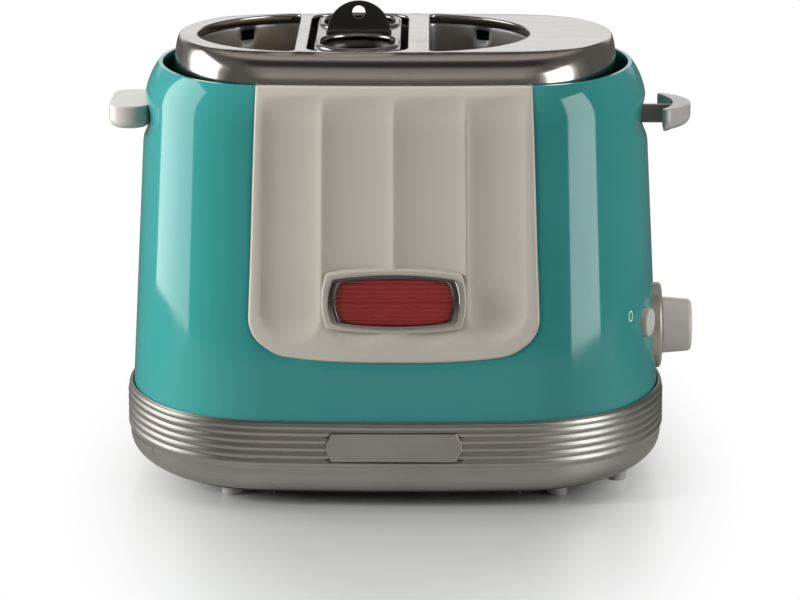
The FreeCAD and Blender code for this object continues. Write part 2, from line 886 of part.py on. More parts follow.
def button_tool(name, radius, start, end):
    """Return a cylinder along the cancel button's axis between two depths below the surface."""
    angle = S["button_angle"]
    crown = button_crown()
    centre = S["body_half_width"] - S["side_crown_radius"]
    rod = doc.addObject("Part::Cylinder", name)
    bind(rod, "Radius", radius)
    bind(rod, "Height", end - start)
    aim = FreeCAD.Rotation(FreeCAD.Vector(0, 0, 1), -angle.value)
    rod.Placement.Rotation = aim.multiply(FreeCAD.Rotation(FreeCAD.Vector(0, 1, 0), -90))
    reach = crown - start
    place(rod, centre + reach * cosine(angle), -reach * sine(angle), S["button_height"])
    return rod


def panel_stock(name, grow):
    """Return the front panel's trapezoid with round lower corners, through the front wall."""
    owner = body(name)
    drawing = sketch(owner, f"{name}Outline", "XZ_Plane")
    top = S["rim_height"] + OVER
    half_top, half_foot = S["panel_top_half_width"] + grow, S["panel_foot_half_width"] + grow
    low = S["panel_bottom"] - grow
    chain(drawing, [(-half_foot, low), (half_foot, low), (half_top, top), (-half_top, top)])
    block = pad(owner, drawing, S["body_half_depth"] + OVER, f"{name}Pad")
    half_way = (S["panel_bottom"] + S["rim_height"]) / 2

    def lower_corner(edge):
        """Accept the two straight edges that run front to back at the foot."""
        run = edge.lastVertex().Point - edge.firstVertex().Point
        return abs(run.y) > abs(run.x) + abs(run.z) and edge.CenterOfMass.z < half_way.value

    fillet(owner, block, S["panel_corner_radius"] + grow, lower_corner, f"{name}Corners")
    return owner


def build_body_shell():
    """Build the drafted shell with its scoops, recess, lever slot, control hole and button boss."""
    wall = shell_band("ShellWall", -S["shell_wall"], 0, S["shell_bottom"], S["rim_height"])
    reach = S["scoop_half_height"] + S["shell_wall"] + OVER
    inner = -(S["scoop_depth"] + S["shell_wall"] + OVER)
    high = S["scoop_height"] + reach
    stock = shell_band("ScoopStock", inner, 0, S["scoop_height"] - reach, high)
    sides = (("Right", 1), ("Left", -1))
    dishes = [
        common(f"{name}Dish", stock, scoop_ring(f"{name}DishRing", side, S["shell_wall"]))
        for name, side in sides
    ]
    boss_radius = S["button_radius"] + S["button_gap"] + S["boss_wall"]
    boss = button_tool("ButtonBoss", boss_radius, S["boss_start"], S["boss_length"])
    full = join("ShellStock", wall, *dishes, boss)
    scoops = [scoop_ring(f"{name}Scoop", side, ZERO) for name, side in sides]
    recess_band = shell_band(
        "RecessBand",
        -S["panel_sunk"],
        S["panel_proud"] + OVER,
        S["panel_bottom"] - 2 * OVER,
        S["rim_height"] + OVER,
    )
    recess = common("PanelRecess", recess_band, panel_stock("RecessStock", S["panel_side_gap"]))
    slot_half = S["arm_half_thickness"] + S["arm_slot_gap"]
    slot_low = S["arm_low"] - S["carriage_travel"] - S["arm_slot_gap"]
    slot_high = S["arm_low"] + S["arm_height"] + S["arm_slot_gap"]
    slot = box(
        "LeverSlot",
        (S["right_plate_x"], S["body_half_width"] + OVER),
        (-slot_half, slot_half),
        (slot_low, slot_high),
    )
    dial_hole = cylinder(
        "DialHole",
        S["ring_radius"] + S["ring_gap"],
        S["knob_reach"] - S["board_x"],
        "x",
        S["board_x"],
        0,
        S["knob_height"],
    )
    bore_radius = S["button_radius"] + S["button_gap"]
    button_hole = button_tool("ButtonHole", bore_radius, -OVER, S["boss_length"] + OVER)
    screw_holes = [
        cylinder(
            f"HandleHole{index}",
            S["screw_radius"] + S["screw_gap"],
            S["body_half_width"] - S["left_plate_x"],
            "x",
            -S["body_half_width"],
            y,
            S["scoop_height"],
        )
        for index, y in enumerate((-S["handle_screw_y"], S["handle_screw_y"]))
    ]
    shell = cut("Shell", full, *scoops, recess, slot, dial_hole, button_hole, *screw_holes)
    node(shell, "body_shell")


def front_surface(x, z, outset):
    """Return how far in front of the axis the wall stands at a width and a height."""
    crown = S["front_crown_radius"] - S["body_half_depth"] + wall_y(z)
    return wall_y(z, outset) - crown + root(crown * crown - x * x)


def flute(index, x):
    """Return one flute's cutter: a leaning cylinder with a ball at its foot."""
    half = S["flute_pitch"] / 2
    depth = S["flute_depth"]
    radius = (half * half + depth * depth) / (2 * depth)
    fade = root(radius * radius - (radius - depth) * (radius - depth))
    foot = S["flute_foot"] + fade
    out = front_surface(x, foot, S["panel_proud"]) + radius - depth
    rod = doc.addObject("Part::Cylinder", f"Flute{index}Rod")
    bind(rod, "Radius", radius)
    bind(rod, "Height", (S["rim_height"] + OVER - foot) / LEAN_COSINE)
    rod.Placement.Rotation = FreeCAD.Rotation(FreeCAD.Vector(1, 0, 0), -S["draft_angle"].value)
    place(rod, x, -out, foot)
    ball = doc.addObject("Part::Sphere", f"Flute{index}Ball")
    bind(ball, "Radius", radius)
    place(ball, x, -out, foot)
    return [rod, ball]


def barrel(drawing, half_width, half_height, drop):
    """Draw a barrel outline: four shallow arcs that meet at the corners."""
    x, y = half_width - drop, half_height - drop
    wide = (x * x + drop * drop) / (2 * drop)
    tall = (y * y + drop * drop) / (2 * drop)
    chain(drawing, [(-x, -y, wide, 1), (x, -y, tall, 1), (x, y, wide, 1), (-x, y, tall, 1)])


BADGE_TILT = FreeCAD.Rotation(FreeCAD.Vector(1, 0, 0), 90 - S["draft_angle"].value)
SEAT_OUTSET = S["panel_proud"] + S["badge_seat_rise"]


def on_badge_seat(thing, sink=ZERO):
    """Stand a thing on the badge's seat, its own +Z out of the panel, sunk by a size."""
    thing.Placement.Rotation = BADGE_TILT
    front = wall_y(S["badge_height"], SEAT_OUTSET)
    place(thing, 0, sink * LEAN_COSINE - front, S["badge_height"] - sink * LEAN_SINE)
    return thing


def corner_edge(edge):
    """Accept an edge that runs along Z."""
    run = edge.lastVertex().Point - edge.firstVertex().Point
    return abs(run.z) > abs(run.x) + abs(run.y)


def barrel_body(name, inset_x, inset_y, thickness):
    """Return a barrel-shaped plate with round corners."""
    owner = body(name)
    drawing = sketch(owner, f"{name}Outline")
    barrel(
        drawing,
        S["badge_half_width"] - inset_x,
        S["badge_half_height"] - inset_y,
        S["badge_corner_drop"],
    )
    plate = pad(owner, drawing, thickness, f"{name}Pad")
    fillet(owner, plate, S["badge_corner_radius"], corner_edge, f"{name}Corners")
    return owner


def build_front_panel():
    """Build the fluted front panel and the badge's seat on it."""
    inner = S["panel_seat_gap"] - S["panel_sunk"]
    band = shell_band("PanelBand", inner, S["panel_proud"], S["panel_bottom"] - OVER, S["rim_height"])
    sheet = common("PanelSheet", band, panel_stock("PanelStock", ZERO))
    pitch = S["flute_pitch"]
    cutters = []
    for index, share in enumerate((-1.5, -0.5, 0.5, 1.5)):
        cutters += flute(index, pitch * share)
    fluted = cut("PanelFluted", sheet, *cutters)
    depth = S["badge_seat_rise"] + S["panel_proud"]
    margin = -S["badge_seat_margin"]
    seat = on_badge_seat(barrel_body("BadgeSeat", margin, margin, depth), depth)
    node(join("Panel", fluted, seat), "front_panel")


def build_badge():
    """Build the badge's frame and its ribbed lens."""
    end, edge = S["badge_end_border"], S["badge_edge_border"]
    outer = barrel_body("BadgeOuter", ZERO, ZERO, S["badge_frame_thickness"])
    inner = barrel_body("BadgeInner", end, edge, S["badge_frame_thickness"] + OVER)
    frame = node(cut("BadgeFrame", outer, inner), "badge_frame")
    on_badge_seat(frame)
    place(frame, AXIS_X, -wall_y(S["badge_height"], SEAT_OUTSET), S["badge_height"])
    gap = S["lens_gap"]
    lens = barrel_body("Lens", end + gap, edge + gap, S["lens_thickness"])
    doc.recompute()
    pitch = S["lens_rib_pitch"]
    groove = pitch / 4
    rows = int((S["badge_half_height"] - edge).value / pitch.value) * 2
    foot = -pitch * (rows / 2)
    drawing = sketch(lens, "LensGroove", lift=S["lens_thickness"])
    half = S["badge_half_width"]
    rectangle(drawing, (-half, half), (foot, foot + groove))
    grooves = lens.newObject("PartDesign::Pocket", "LensGrooveCut")
    grooves.Profile = drawing
    bind(grooves, "Length", S["lens_rib_depth"])
    pattern = lens.newObject("PartDesign::LinearPattern", "LensGrooves")
    pattern.Originals = [grooves]
    pattern.Direction = (drawing, ["V_Axis"])
    bind(pattern, "Length", pitch * rows)
    pattern.Occurrences = rows + 1
    lens.Tip = pattern
    node(lens, "badge_lens")
    on_badge_seat(lens)
    place(lens, AXIS_X, -wall_y(S["badge_height"], SEAT_OUTSET), S["badge_height"])


def foot_profile(outer_top, inner_top, flange):
    """Return the points of the skirt's foot, from its outer top round the bottom to its inner top."""
    out = S["body_half_width"] + S["skirt_band_outset"]
    turn, wall, low = S["skirt_foot_radius"], S["skirt_wall"], S["skirt_bottom"]
    return [
        (out, outer_top),
        (out, low + turn, turn, -1),
        (out - turn, low),
        (out - turn - flange, low),
        (out - turn - flange, low + wall),
        (out - turn, low + wall, turn - wall, 1),
        (out - wall, low + turn),
        (out - wall, inner_top),
    ]


def build_base_skirt():
    """Build the ribbed skirt, with the tray opening, the plate seat and the inlet hole."""
    owner = body("SkirtRing")
    path = sketch(owner, "SkirtPath")
    body_oval(path)
    profile = sketch(owner, "SkirtProfile", "XZ_Plane")
    half = S["body_half_width"]
    pitch, bulge = S["rib_pitch"], S["rib_bulge"]
    groove = half + S["skirt_groove_outset"]
    top = S["rib_zone_top"]
    lean = groove - half - S["skirt_lip_outset"]
    rib_radius = (pitch * pitch / 4 + bulge * bulge) / (2 * bulge)
    slant = root(pitch * pitch + lean * lean)
    top_radius = (slant * slant / 4 + bulge * bulge) / (2 * bulge)
    points = [(half + S["skirt_lip_outset"], top, top_radius, -1)]
    ribs = 6
    points += [(groove, top - pitch * row, rib_radius, -1) for row in range(1, ribs)]
    last = top - pitch * ribs
    points.append((groove, last))
    ledge_top = S["shell_bottom"]
    inside = half + S["skirt_band_outset"] - S["skirt_wall"]
    points += foot_profile(last - S["skirt_step"], ledge_top - S["skirt_wall"], S["skirt_flange"])
    lip_in = half + S["skirt_lip_gap"]
    points += [
        (inside - S["skirt_ledge"], ledge_top - S["skirt_wall"]),
        (inside - S["skirt_ledge"], ledge_top),
        (lip_in, ledge_top),
        (lip_in, top),
    ]
    chain(profile, points)
    sweep(owner, profile, path, "SkirtSweep")
    far = half + S["skirt_groove_outset"] + OVER
    tray_hole = box(
        "TrayHole",
        (-far, -S["foot_x"]),
        (-S["tray_front_half_width"], S["tray_front_half_width"]),
        (S["skirt_bottom"] - OVER, S["tray_front_top"]),
    )
    gap = S["plate_seat_gap"]
    face = S["body_half_depth"] + S["skirt_groove_outset"]
    plate_x, plate_z = S["plate_half_width"] + gap, S["plate_half_height"] + gap
    plate_seat = box(
        "PlateSeat",
        (-plate_x, plate_x),
        (-face - OVER, PLATE_BACK),
        (S["plate_height"] - plate_z, S["plate_height"] + plate_z),
    )
    inlet = cylinder(
        "InletHole",
        S["inlet_radius"] + S["inlet_gap"],
        S["body_half_depth"],
        "y",
        S["inlet_x"],
        S["body_half_depth"] / 2,
        S["inlet_height"],
    )
    holes = screw_tools("SkirtScrewHole", S["screw_radius"] + S["screw_gap"], BASE_LOW, FLOOR_TOP)
    doc.recompute()
    node(cut("Skirt", owner, tray_hole, plate_seat, inlet, *holes), "base_skirt")


PLATE_BACK = -(S["body_half_depth"] + S["skirt_groove_outset"] - 2 * S["rib_bulge"])


def screw_tools(name, radius, low, high):
    """Return four upright cylinders at the base screws' places."""
    tools = []
    for index, (side, way) in enumerate(((1, 1), (1, -1), (-1, 1), (-1, -1))):
        x, y = S["base_screw_x"] * side, S["base_screw_y"] * way
        tools.append(cylinder(f"{name}{index}", radius, high - low, "z", x, y, low))
    return tools


def build_name_plate():
    """Build the bare name plate, with its ends stepped in towards the top and the bottom."""
    owner = body("NamePlate")
    drawing = sketch(owner, "NamePlateOutline", "XZ_Plane")
    wide, tall = S["plate_half_width"], S["plate_half_height"]
    step = S["plate_corner_inset"]
    quarter = [(wide, tall / 3), (wide - step / 2, tall / 3 + step / 2), (wide - step, tall)]
    points = [(x, -y) for x, y in reversed(quarter)] + quarter
    points += [(-x, y) for x, y in reversed(quarter)] + [(-x, -y) for x, y in quarter]
    chain(drawing, points)
    pad(owner, drawing, S["plate_thickness"], "NamePlatePad")
    node(owner, "name_plate", 0, PLATE_BACK, S["plate_height"])


def build_base():
    """Build the vented base plate, its feet and its screws."""
    outset = S["skirt_band_outset"] - S["skirt_foot_radius"] - S["base_inset"]
    owner = padded("BaseBlank", lambda d: body_oval(d, outset), BASE_LOW, S["skirt_bottom"])
    pitch, half_slot = S["vent_pitch"], S["vent_width"] / 2
    count = int((S["bun_left_edge"] + S["bun_width"]).value / pitch.value)
    reach = S["vent_length"] / 2
    depth = (BASE_LOW - OVER, S["skirt_bottom"] + OVER)
    vents = []
    for row in (-1, 1):
        y = S["vent_row"] * row
        for column in range(1 - count, count - 1):
            x = pitch * (column + 0.5)
            name = f"Vent{row + 1}_{column + count}"
            vents.append(box(name, (x - half_slot, x + half_slot), (y - reach, y + reach), depth))
    holes = screw_tools("BaseScrewHole", S["screw_radius"] + S["screw_gap"], ZERO, FLOOR_TOP)
    node(cut("BasePlate", owner, *vents, *holes), "base_plate")
    places = {
        "foot_front_left": (-S["foot_x"], -S["foot_y"]),
        "foot_front_right": (S["foot_x"], -S["foot_y"]),
        "foot_rear_left": (-S["foot_x"], S["foot_y"]),
        "foot_rear_right": (S["foot_x"], S["foot_y"]),
        "foot_side_front": (S["side_foot_x"], -S["side_foot_y"]),
        "foot_side_rear": (S["side_foot_x"], S["side_foot_y"]),
    }
    for label, (x, y) in places.items():
        foot = doc.addObject("Part::Cone", label)
        bind(foot, "Radius1", S["foot_bottom_radius"])
        bind(foot, "Radius2", S["foot_top_radius"])
        bind(foot, "Height", BASE_LOW)
        node(foot, label, x, y)
    head_low = BASE_LOW - S["screw_head_height"]
    heads = screw_tools("BaseScrewHead", S["screw_head_radius"], head_low, BASE_LOW)
    shank_top = S["skirt_bottom"] + S["skirt_wall"]
    shanks = screw_tools("BaseScrewShank", S["screw_radius"], BASE_LOW, shank_top)
    screws = [join(f"BaseScrew{i}", *pair) for i, pair in enumerate(zip(heads, shanks))]
    node(group("BaseScrews", *screws), "base_screws")


def build_crumb_tray():
    """Build the sheet tray and the front that closes the skirt's opening."""
    low = S["skirt_bottom"] + S["tray_gap"]
    half, wall = S["tray_half_width"], S["tray_wall"]
    outer = box("TrayOuter", (-S["tray_start"], S["tray_end"]), (-half, half), (low, low + S["tray_side"]))
    inner = box(
        "TrayInner",
        (wall - S["tray_start"], S["tray_end"] - wall),
        (wall - half, half - wall),
        (low + wall, low + S["tray_side"] + OVER),
    )
    node(cut("Tray", outer, inner), "crumb_tray")
    owner = body("TrayFrontRing")
    path = sketch(owner, "TrayFrontPath")
    body_oval(path)
    profile = sketch(owner, "TrayFrontProfile", "XZ_Plane")
    top = S["tray_front_top"] - S["tray_front_gap"]
    chain(profile, foot_profile(top, top, S["tray_front_half_width"] / 2))
    sweep(owner, profile, path, "TrayFrontSweep")
    reach = S["tray_front_half_width"] - S["tray_front_gap"]
    far = S["body_half_width"] + S["skirt_groove_outset"] + OVER
    window = box(
        "TrayFrontWindow",
        (-far, -S["tray_start"]),
        (-reach, reach),
        (S["skirt_bottom"], top),
    )
    node(common("TrayFront", owner, window), "tray_front")


def well_stock(name, kind, grow, low, high):
    """Return the filled outline of one opening, grown by a size, between two heights."""
    half = S["sausage_half_depth"]
    draws = {
        "left": lambda d: dee(d, -S["bun_left_edge"], -1, grow),
        "right": lambda d: dee(d, S["bun_right_edge"], 1, grow),
        "sausage": lambda d: soft_rectangle(
            d,
            (-S["sausage_left_edge"] - grow, S["sausage_right_edge"] + grow),
            (-half - grow, half + grow),
            S["sausage_corner_radius"] + grow,
        ),
    }
    return padded(name, draws[kind], low, high)


KINDS = ("left", "right", "sausage")


def build_top_cover():
    """Build the pressed cover: flat top, round shoulder and three openings with turned-down edges."""
    shoulder, sheet = S["cover_shoulder"], S["cover_sheet"]
    top, low = S["cover_top"], S["cover_bottom"]
    flat = padded("CoverFlat", lambda d: cover_oval(d, -shoulder), COVER_UNDER, top)
    owner = body("CoverRing")
    path = sketch(owner, "CoverPath")
    cover_oval(path)
    profile = sketch(owner, "CoverProfile", "XZ_Plane")
    out = S["cover_half_width"]
    points = [
        (out - shoulder, top, shoulder, -1),
        (out, top - shoulder),
        (out, low),
        (out - sheet, low),
        (out - sheet, top - shoulder, shoulder - sheet, 1),
        (out - shoulder, COVER_UNDER),
    ]
    chain(profile, points)
    sweep(owner, profile, path, "CoverSweep")
    edge_low = COVER_UNDER - S["opening_flange"]
    edges = [well_stock(f"Edge{kind}", kind, sheet, edge_low, top) for kind in KINDS]
    holes = [well_stock(f"Opening{kind}", kind, ZERO, edge_low - OVER, top + OVER) for kind in KINDS]
    node(cut("Cover", join("CoverStock", flat, owner, *edges), *holes), "top_cover")


def build_wells():
    """Build the three wells of thin sheet, with windows towards the heater cards."""
    half = S["window_half_width"]
    low, high = FLOOR_TOP + S["window_margin"], COVER_UNDER - S["window_margin"]
    left_edge, right_edge = -S["bun_left_edge"], S["bun_right_edge"]
    middle = {"left": left_edge, "right": right_edge}
    for kind in KINDS:
        outer = well_stock(f"WellOuter{kind}", kind, WELL_OUT, FLOOR_TOP, COVER_UNDER - S["well_gap"])
        inner = well_stock(f"WellInner{kind}", kind, WELL_IN, FLOOR_TOP - OVER, COVER_UNDER + OVER)
        if kind == "sausage":
            reach = (-S["sausage_left_edge"] - 2 * OVER, S["sausage_right_edge"] + 2 * OVER)
            window = box("WindowSausage", reach, (-half, half), (low, high))
            node(cut("WellSausage", outer, inner, window), "sausage_well")
            continue
        side = -1 if kind == "left" else 1
        edge = middle[kind]
        window = box(f"Window{kind}", (edge - OVER, edge + OVER), (-half, half), (low, high))
        centre = edge + side * (S["bun_width"] - S["bun_radius"])
        notch_x = centre + side * S["bun_radius"] * cosine(S["well_notch_angle"])
        notch_y = S["bun_radius"] * sine(S["well_notch_angle"])
        notch = S["well_notch"]
        notch_top = COVER_UNDER - S["opening_flange"] - S["well_notch_drop"]
        notch_box = box(
            f"Notch{kind}",
            (notch_x - notch / 2, notch_x + notch / 2),
            (notch_y - 2 * OVER, notch_y + 2 * OVER),
            (notch_top - notch, notch_top),
        )
        tools = [inner, window, notch_box]
        if kind == "right":
            tools.append(rack_slot("WellRackSlot", edge + S["bun_width"] / 2))
        node(cut(f"Well{kind}", outer, *tools), f"well_{kind}")


def rack_slot(name, start):
    """Return the slot that the rack bar travels in, from a place in x to past the right plate."""
    half = S["rack_slot_half_width"]
    low = S["rack_top"] - S["rack_bar_height"] - S["carriage_travel"] - half
    return box(name, (start, S["right_plate_x"] + OVER), (-half, half), (low, S["rack_top"] + half))


CARD_X = {
    "left": -(S["bun_left_edge"] + S["sausage_left_edge"]) / 2,
    "right": (S["bun_right_edge"] + S["sausage_right_edge"]) / 2,
}


def build_heaters():
    """Build the two heater cards with flat ribbons on both faces, and the guard wires."""
    low, high = FLOOR_TOP + S["window_margin"], COVER_UNDER - S["window_margin"]
    half_slot = S["rack_slot_half_width"]
    slot_low = S["rack_top"] - S["rack_bar_height"] - S["carriage_travel"] - half_slot
    slot_high = S["rack_top"] + half_slot
    for kind, middle in CARD_X.items():
        half, wide = S["card_sheet"] / 2, S["card_half_width"]
        x = (middle - half, middle + half)
        card = box(f"CardBlank{kind}", x, (-wide, wide), (FLOOR_TOP, S["card_top"]))
        slot_x = (middle - OVER, middle + OVER)
        slot = box(f"CardSlot{kind}", slot_x, (-half_slot, half_slot), (slot_low, slot_high))
        node(cut(f"Card{kind}", card, slot), f"heater_card_{kind}")
        thick, reach = S["ribbon_thickness"], S["window_half_width"] - S["ribbon_inset"]
        rows = int((high - low).value / S["ribbon_pitch"].value)
        ribbons = []
        for row in range(rows):
            z = low + S["ribbon_pitch"] * (row + 0.5)
            spans = [(-reach, reach)]
            if slot_low.value < (z + S["ribbon_width"]).value and z.value < slot_high.value:
                inner = half_slot + S["ribbon_inset"]
                spans = [(-reach, -inner), (inner, reach)]
            for face, x in (("In", (middle - half - thick, middle - half)), ("Out", (middle + half, middle + half + thick))):
                for part, span in enumerate(spans):
                    name = f"Ribbon{kind}{face}{row}_{part}"
                    ribbons.append(box(name, x, span, (z, z + S["ribbon_width"])))
        node(group(f"Ribbons{kind}", *ribbons), f"heater_ribbons_{kind}")
    wall = (WELL_IN + WELL_OUT) / 2
    rows = {
        "left": [-S["bun_left_edge"] + wall],
        "middle": [-S["sausage_left_edge"] - wall, S["sausage_right_edge"] + wall],
        "right": [S["bun_right_edge"] - wall],
    }
    count = int((S["window_half_width"] / S["guard_pitch"]).value + 0.5)
    for label, places in rows.items():
        wires = []
        for line, x in enumerate(places):
            for step in range(-count, count):
                y = S["guard_pitch"] * (step + 0.5)
                name = f"Guard{label}{line}_{step + count}"
                wires.append(cylinder(name, S["guard_wire_radius"], high - low, "z", x, y, low))
        node(group(f"Guards{label}", *wires), f"guard_wires_{label}")


def build_chassis():
    """Build the floor, the left plate and the right plate with its two rod flanges."""
    sheet = S["chassis_sheet"]
    left, right = -S["left_plate_x"], S["right_plate_x"]
    deep = S["floor_half_depth"]
    floor = box("FloorBlank", (left, right), (-deep, deep), (S["floor_height"], FLOOR_TOP))
    under, over = S["floor_height"] - OVER, FLOOR_TOP + OVER
    holes = [well_stock(f"FloorHole{kind}", kind, WELL_IN, under, over) for kind in KINDS]
    node(cut("Floor", floor, *holes), "chassis_floor")
    lower, upper = S["plate_lower_half_width"], S["plate_upper_half_width"]
    tray_half = S["tray_half_width"] + S["tray_pass_gap"]
    tray_top = S["skirt_bottom"] + S["tray_gap"] + S["tray_side"] + S["tray_pass_gap"]
    step = S["plate_step_height"]
    x = (left - sheet, left)
    wide = box("LeftPlateLow", x, (-lower, lower), (S["skirt_bottom"], step))
    tall = box("LeftPlateHigh", x, (-upper, upper), (step, S["left_plate_top"]))
    x = (left - sheet - OVER, left + OVER)
    tray = box("TrayPass", x, (-tray_half, tray_half), (S["skirt_bottom"] - OVER, tray_top))
    node(cut("LeftPlate", join("LeftPlateBlank", wide, tall), tray), "chassis_left")
    high = S["rod_flange_high"] + sheet
    plate = box("RightPlate", (right, right + sheet), (-lower, lower), (S["skirt_bottom"], high))
    reach = (right, right + sheet + S["rod_flange_reach"])
    half = S["rod_flange_half_width"]
    flanges = [
        box(f"RodFlange{name}", reach, (-half, half), (z, z + sheet))
        for name, z in (("Low", S["rod_flange_low"]), ("High", S["rod_flange_high"]))
    ]
    slot = rack_slot("PlateRackSlot", right - OVER)
    node(cut("RightChassis", join("RightBlank", plate, *flanges), slot), "chassis_right")


def build_carriage():
    """Build the guide rods, springs, carriage, latch, lever and racks."""
    rods, bushes, webs, bores = [], [], [], []
    low, high = S["carriage_low"], S["carriage_high"]
    rod_x, sheet = S["rod_x"], S["carriage_sheet"]
    bush = S["bush_length"]
    ring_in = S["rod_radius"] + S["spring_gap"]
    face = S["carriage_x"] + sheet
    for name, side in (("front", -1), ("rear", 1)):
        y = S["rod_y"] * side
        length = S["rod_flange_high"] - FLANGE_TOP
        rods.append(cylinder(f"Rod{name}", S["rod_radius"], length, "z", rod_x, y, FLANGE_TOP))
        bore = S["rod_radius"] + S["rod_fit"]
        bores.append(cylinder(f"RodBore{name}", bore, length, "z", rod_x, y, FLANGE_TOP))
        for end, z in (("Low", low), ("High", high - bush)):
            tag = f"{end}{name}"
            bushes.append(cylinder(f"Bush{tag}", S["bush_radius"], bush, "z", rod_x, y, z))
            web = (y - S["arm_half_thickness"], y + S["arm_half_thickness"])
            webs.append(box(f"Web{tag}", (face, rod_x), web, (z, z + bush)))
        coil_out, coil_length = ring_in + S["spring_wire"], low - FLANGE_TOP
        coil = cylinder(f"SpringOuter{name}", coil_out, coil_length, "z", rod_x, y, FLANGE_TOP)
        eye = cylinder(f"SpringInner{name}", ring_in, coil_length, "z", rod_x, y, FLANGE_TOP)
        node(cut(f"Spring{name}", coil, eye), f"return_spring_{name}")
    node(group("Rods", *rods), "guide_rods")
    half = S["carriage_half_width"]
    plate = box("CarriagePlate", (S["carriage_x"], face), (-half, half), (low, high))
    node(cut("Carriage", join("CarriageStock", plate, *bushes, *webs), *bores), "carriage_frame")
    half, reach = S["latch_half_width"], S["carriage_x"] + S["latch_reach"]
    latch_low = low - S["latch_sheet"]
    box_node("latch_plate", (S["carriage_x"], reach), (-half, half), (latch_low, low))
    core_top = latch_low - S["carriage_travel"] - S["latch_gap"]
    core_x = S["carriage_x"] + S["coil_radius"]
    half = S["core_half_width"]
    core_box = (core_x - half, core_x + half), (-half, half)
    box_node("latch_core", *core_box, (FLANGE_TOP, core_top))
    coil_low, coil_high = FLANGE_TOP + S["coil_margin"], core_top - S["coil_margin"]
    coil = cylinder("CoilOuter", S["coil_radius"], coil_high - coil_low, "z", core_x, 0, coil_low)
    hole = box("CoilHole", *core_box, (FLANGE_TOP, core_top))
    node(cut("LatchCoil", coil, hole), "latch_coil")
    build_lever(face)
    build_racks()


def build_lever(start):
    """Build the lever's arm with its tongue, and the curved cap on it."""
    half, low, tall = S["arm_half_thickness"], S["arm_low"], S["arm_height"]
    inner = S["cap_end"] - S["cap_thickness"] - S["cap_fit"]
    tongue, inset = S["arm_tongue_length"], S["arm_tongue_inset"]
    bar = box("ArmBar", (start, inner), (-half, half), (low, low + tall))
    tip = box("ArmTongue", (inner, inner + tongue), (-half, half), (low + inset, low + tall - inset))
    node(join("Arm", bar, tip), "lever_arm")
    owner = body("CapBody")
    drawing = sketch(owner, "CapOutline", lift=S["cap_low"])
    reach = S["cap_half_length"]
    back = S["cap_end"] - S["cap_tip"]
    outer = (reach * reach + back * back) / (2 * back)
    inner_reach, hollow = reach - S["cap_tip_width"], back - S["cap_thickness"]
    inner_radius = (inner_reach * inner_reach + hollow * hollow) / (2 * hollow)
    tip_x = S["cap_tip"]
    points = [
        (tip_x, -reach, outer, 1),
        (tip_x, reach),
        (tip_x, inner_reach, inner_radius, -1),
        (tip_x, -inner_reach),
    ]
    chain(drawing, points)
    block = pad(owner, drawing, S["cap_height"], "CapPad")
    tips = fillet(owner, block, S["cap_tip_radius"], corner_edge, "CapTips")

    def rim_edge(edge):
        """Accept the edges that lie in the top or the bottom face."""
        return edge.BoundBox.ZLength < S["cap_fit"].value

    fillet(owner, tips, S["cap_edge_radius"], rim_edge, "CapRound")
    fit = S["cap_fit"]
    socket = box(
        "CapSocket",
        (tip_x, inner + tongue + fit),
        (-half - fit, half + fit),
        (low + inset - fit, low + tall - inset + fit),
    )
    node(cut("Cap", owner, socket), "lever_cap")


def build_racks():
    """Build the rack bar and what carries the buns and the basket on it."""
    half, top = S["rack_bar_half_thickness"], S["rack_top"]
    low = top - S["rack_bar_height"]
    box_node("rack_bar", (-S["rack_end"], S["carriage_x"]), (-half, half), (low, top))
    thick, wide = S["rest_strip_thickness"], S["rest_strip_width"] / 2
    spine = S["rest_strip_width"] / 2
    for label, edge, side in (("left", -S["bun_left_edge"], -1), ("right", S["bun_right_edge"], 1)):
        strips = []
        centre = edge + side * (S["bun_width"] - S["bun_radius"])
        radius = S["bun_radius"] - S["rest_clearance"]
        for step in (1, 2, 3):
            x = edge + side * S["rest_strip_pitch"] * (step - 0.25)
            outer = x + side * wide - centre
            reach = root(radius * radius - outer * outer)
            span = (x - wide, x + wide)
            strips.append(box(f"Strip{label}{step}", span, (-reach, reach), (top, top + thick)))
            for way in (-1, 1):
                ends = (reach - thick, reach) if way > 0 else (-reach, thick - reach)
                strips.append(box(f"Lip{label}{step}_{way + 1}", span, ends, (top, top + S["rest_lip"])))
        first = edge + side * S["rest_strip_pitch"] * 0.75
        last = edge + side * S["rest_strip_pitch"] * 2.75
        x = (last, first) if side < 0 else (first, last)
        strips.append(box(f"Spine{label}", x, (-spine, spine), (top, top + thick)))
        node(join(f"Rest{label}", *strips), f"bun_rest_{label}")
    middle, half = BASKET_X, S["basket_rest_half_width"]
    deep = S["basket_rest_half_depth"]
    x = (middle - half, middle + half)
    box_node("basket_rest", x, (-deep, deep), (top, top + thick))


BASKET_X = (S["sausage_right_edge"] - S["sausage_left_edge"]) / 2


def cup_outline(drawing, y, grow):
    """Draw a sausage hole, round at both ends, grown by a size."""
    half, deep = S["cup_half_width"] + grow, S["cup_half_depth"] + grow
    straight = deep - half
    chain(
        drawing,
        [
            (half, y - straight),
            (half, y + straight, half, 1),
            (-half, y + straight),
            (-half, y - straight, half, 1),
        ],
    )


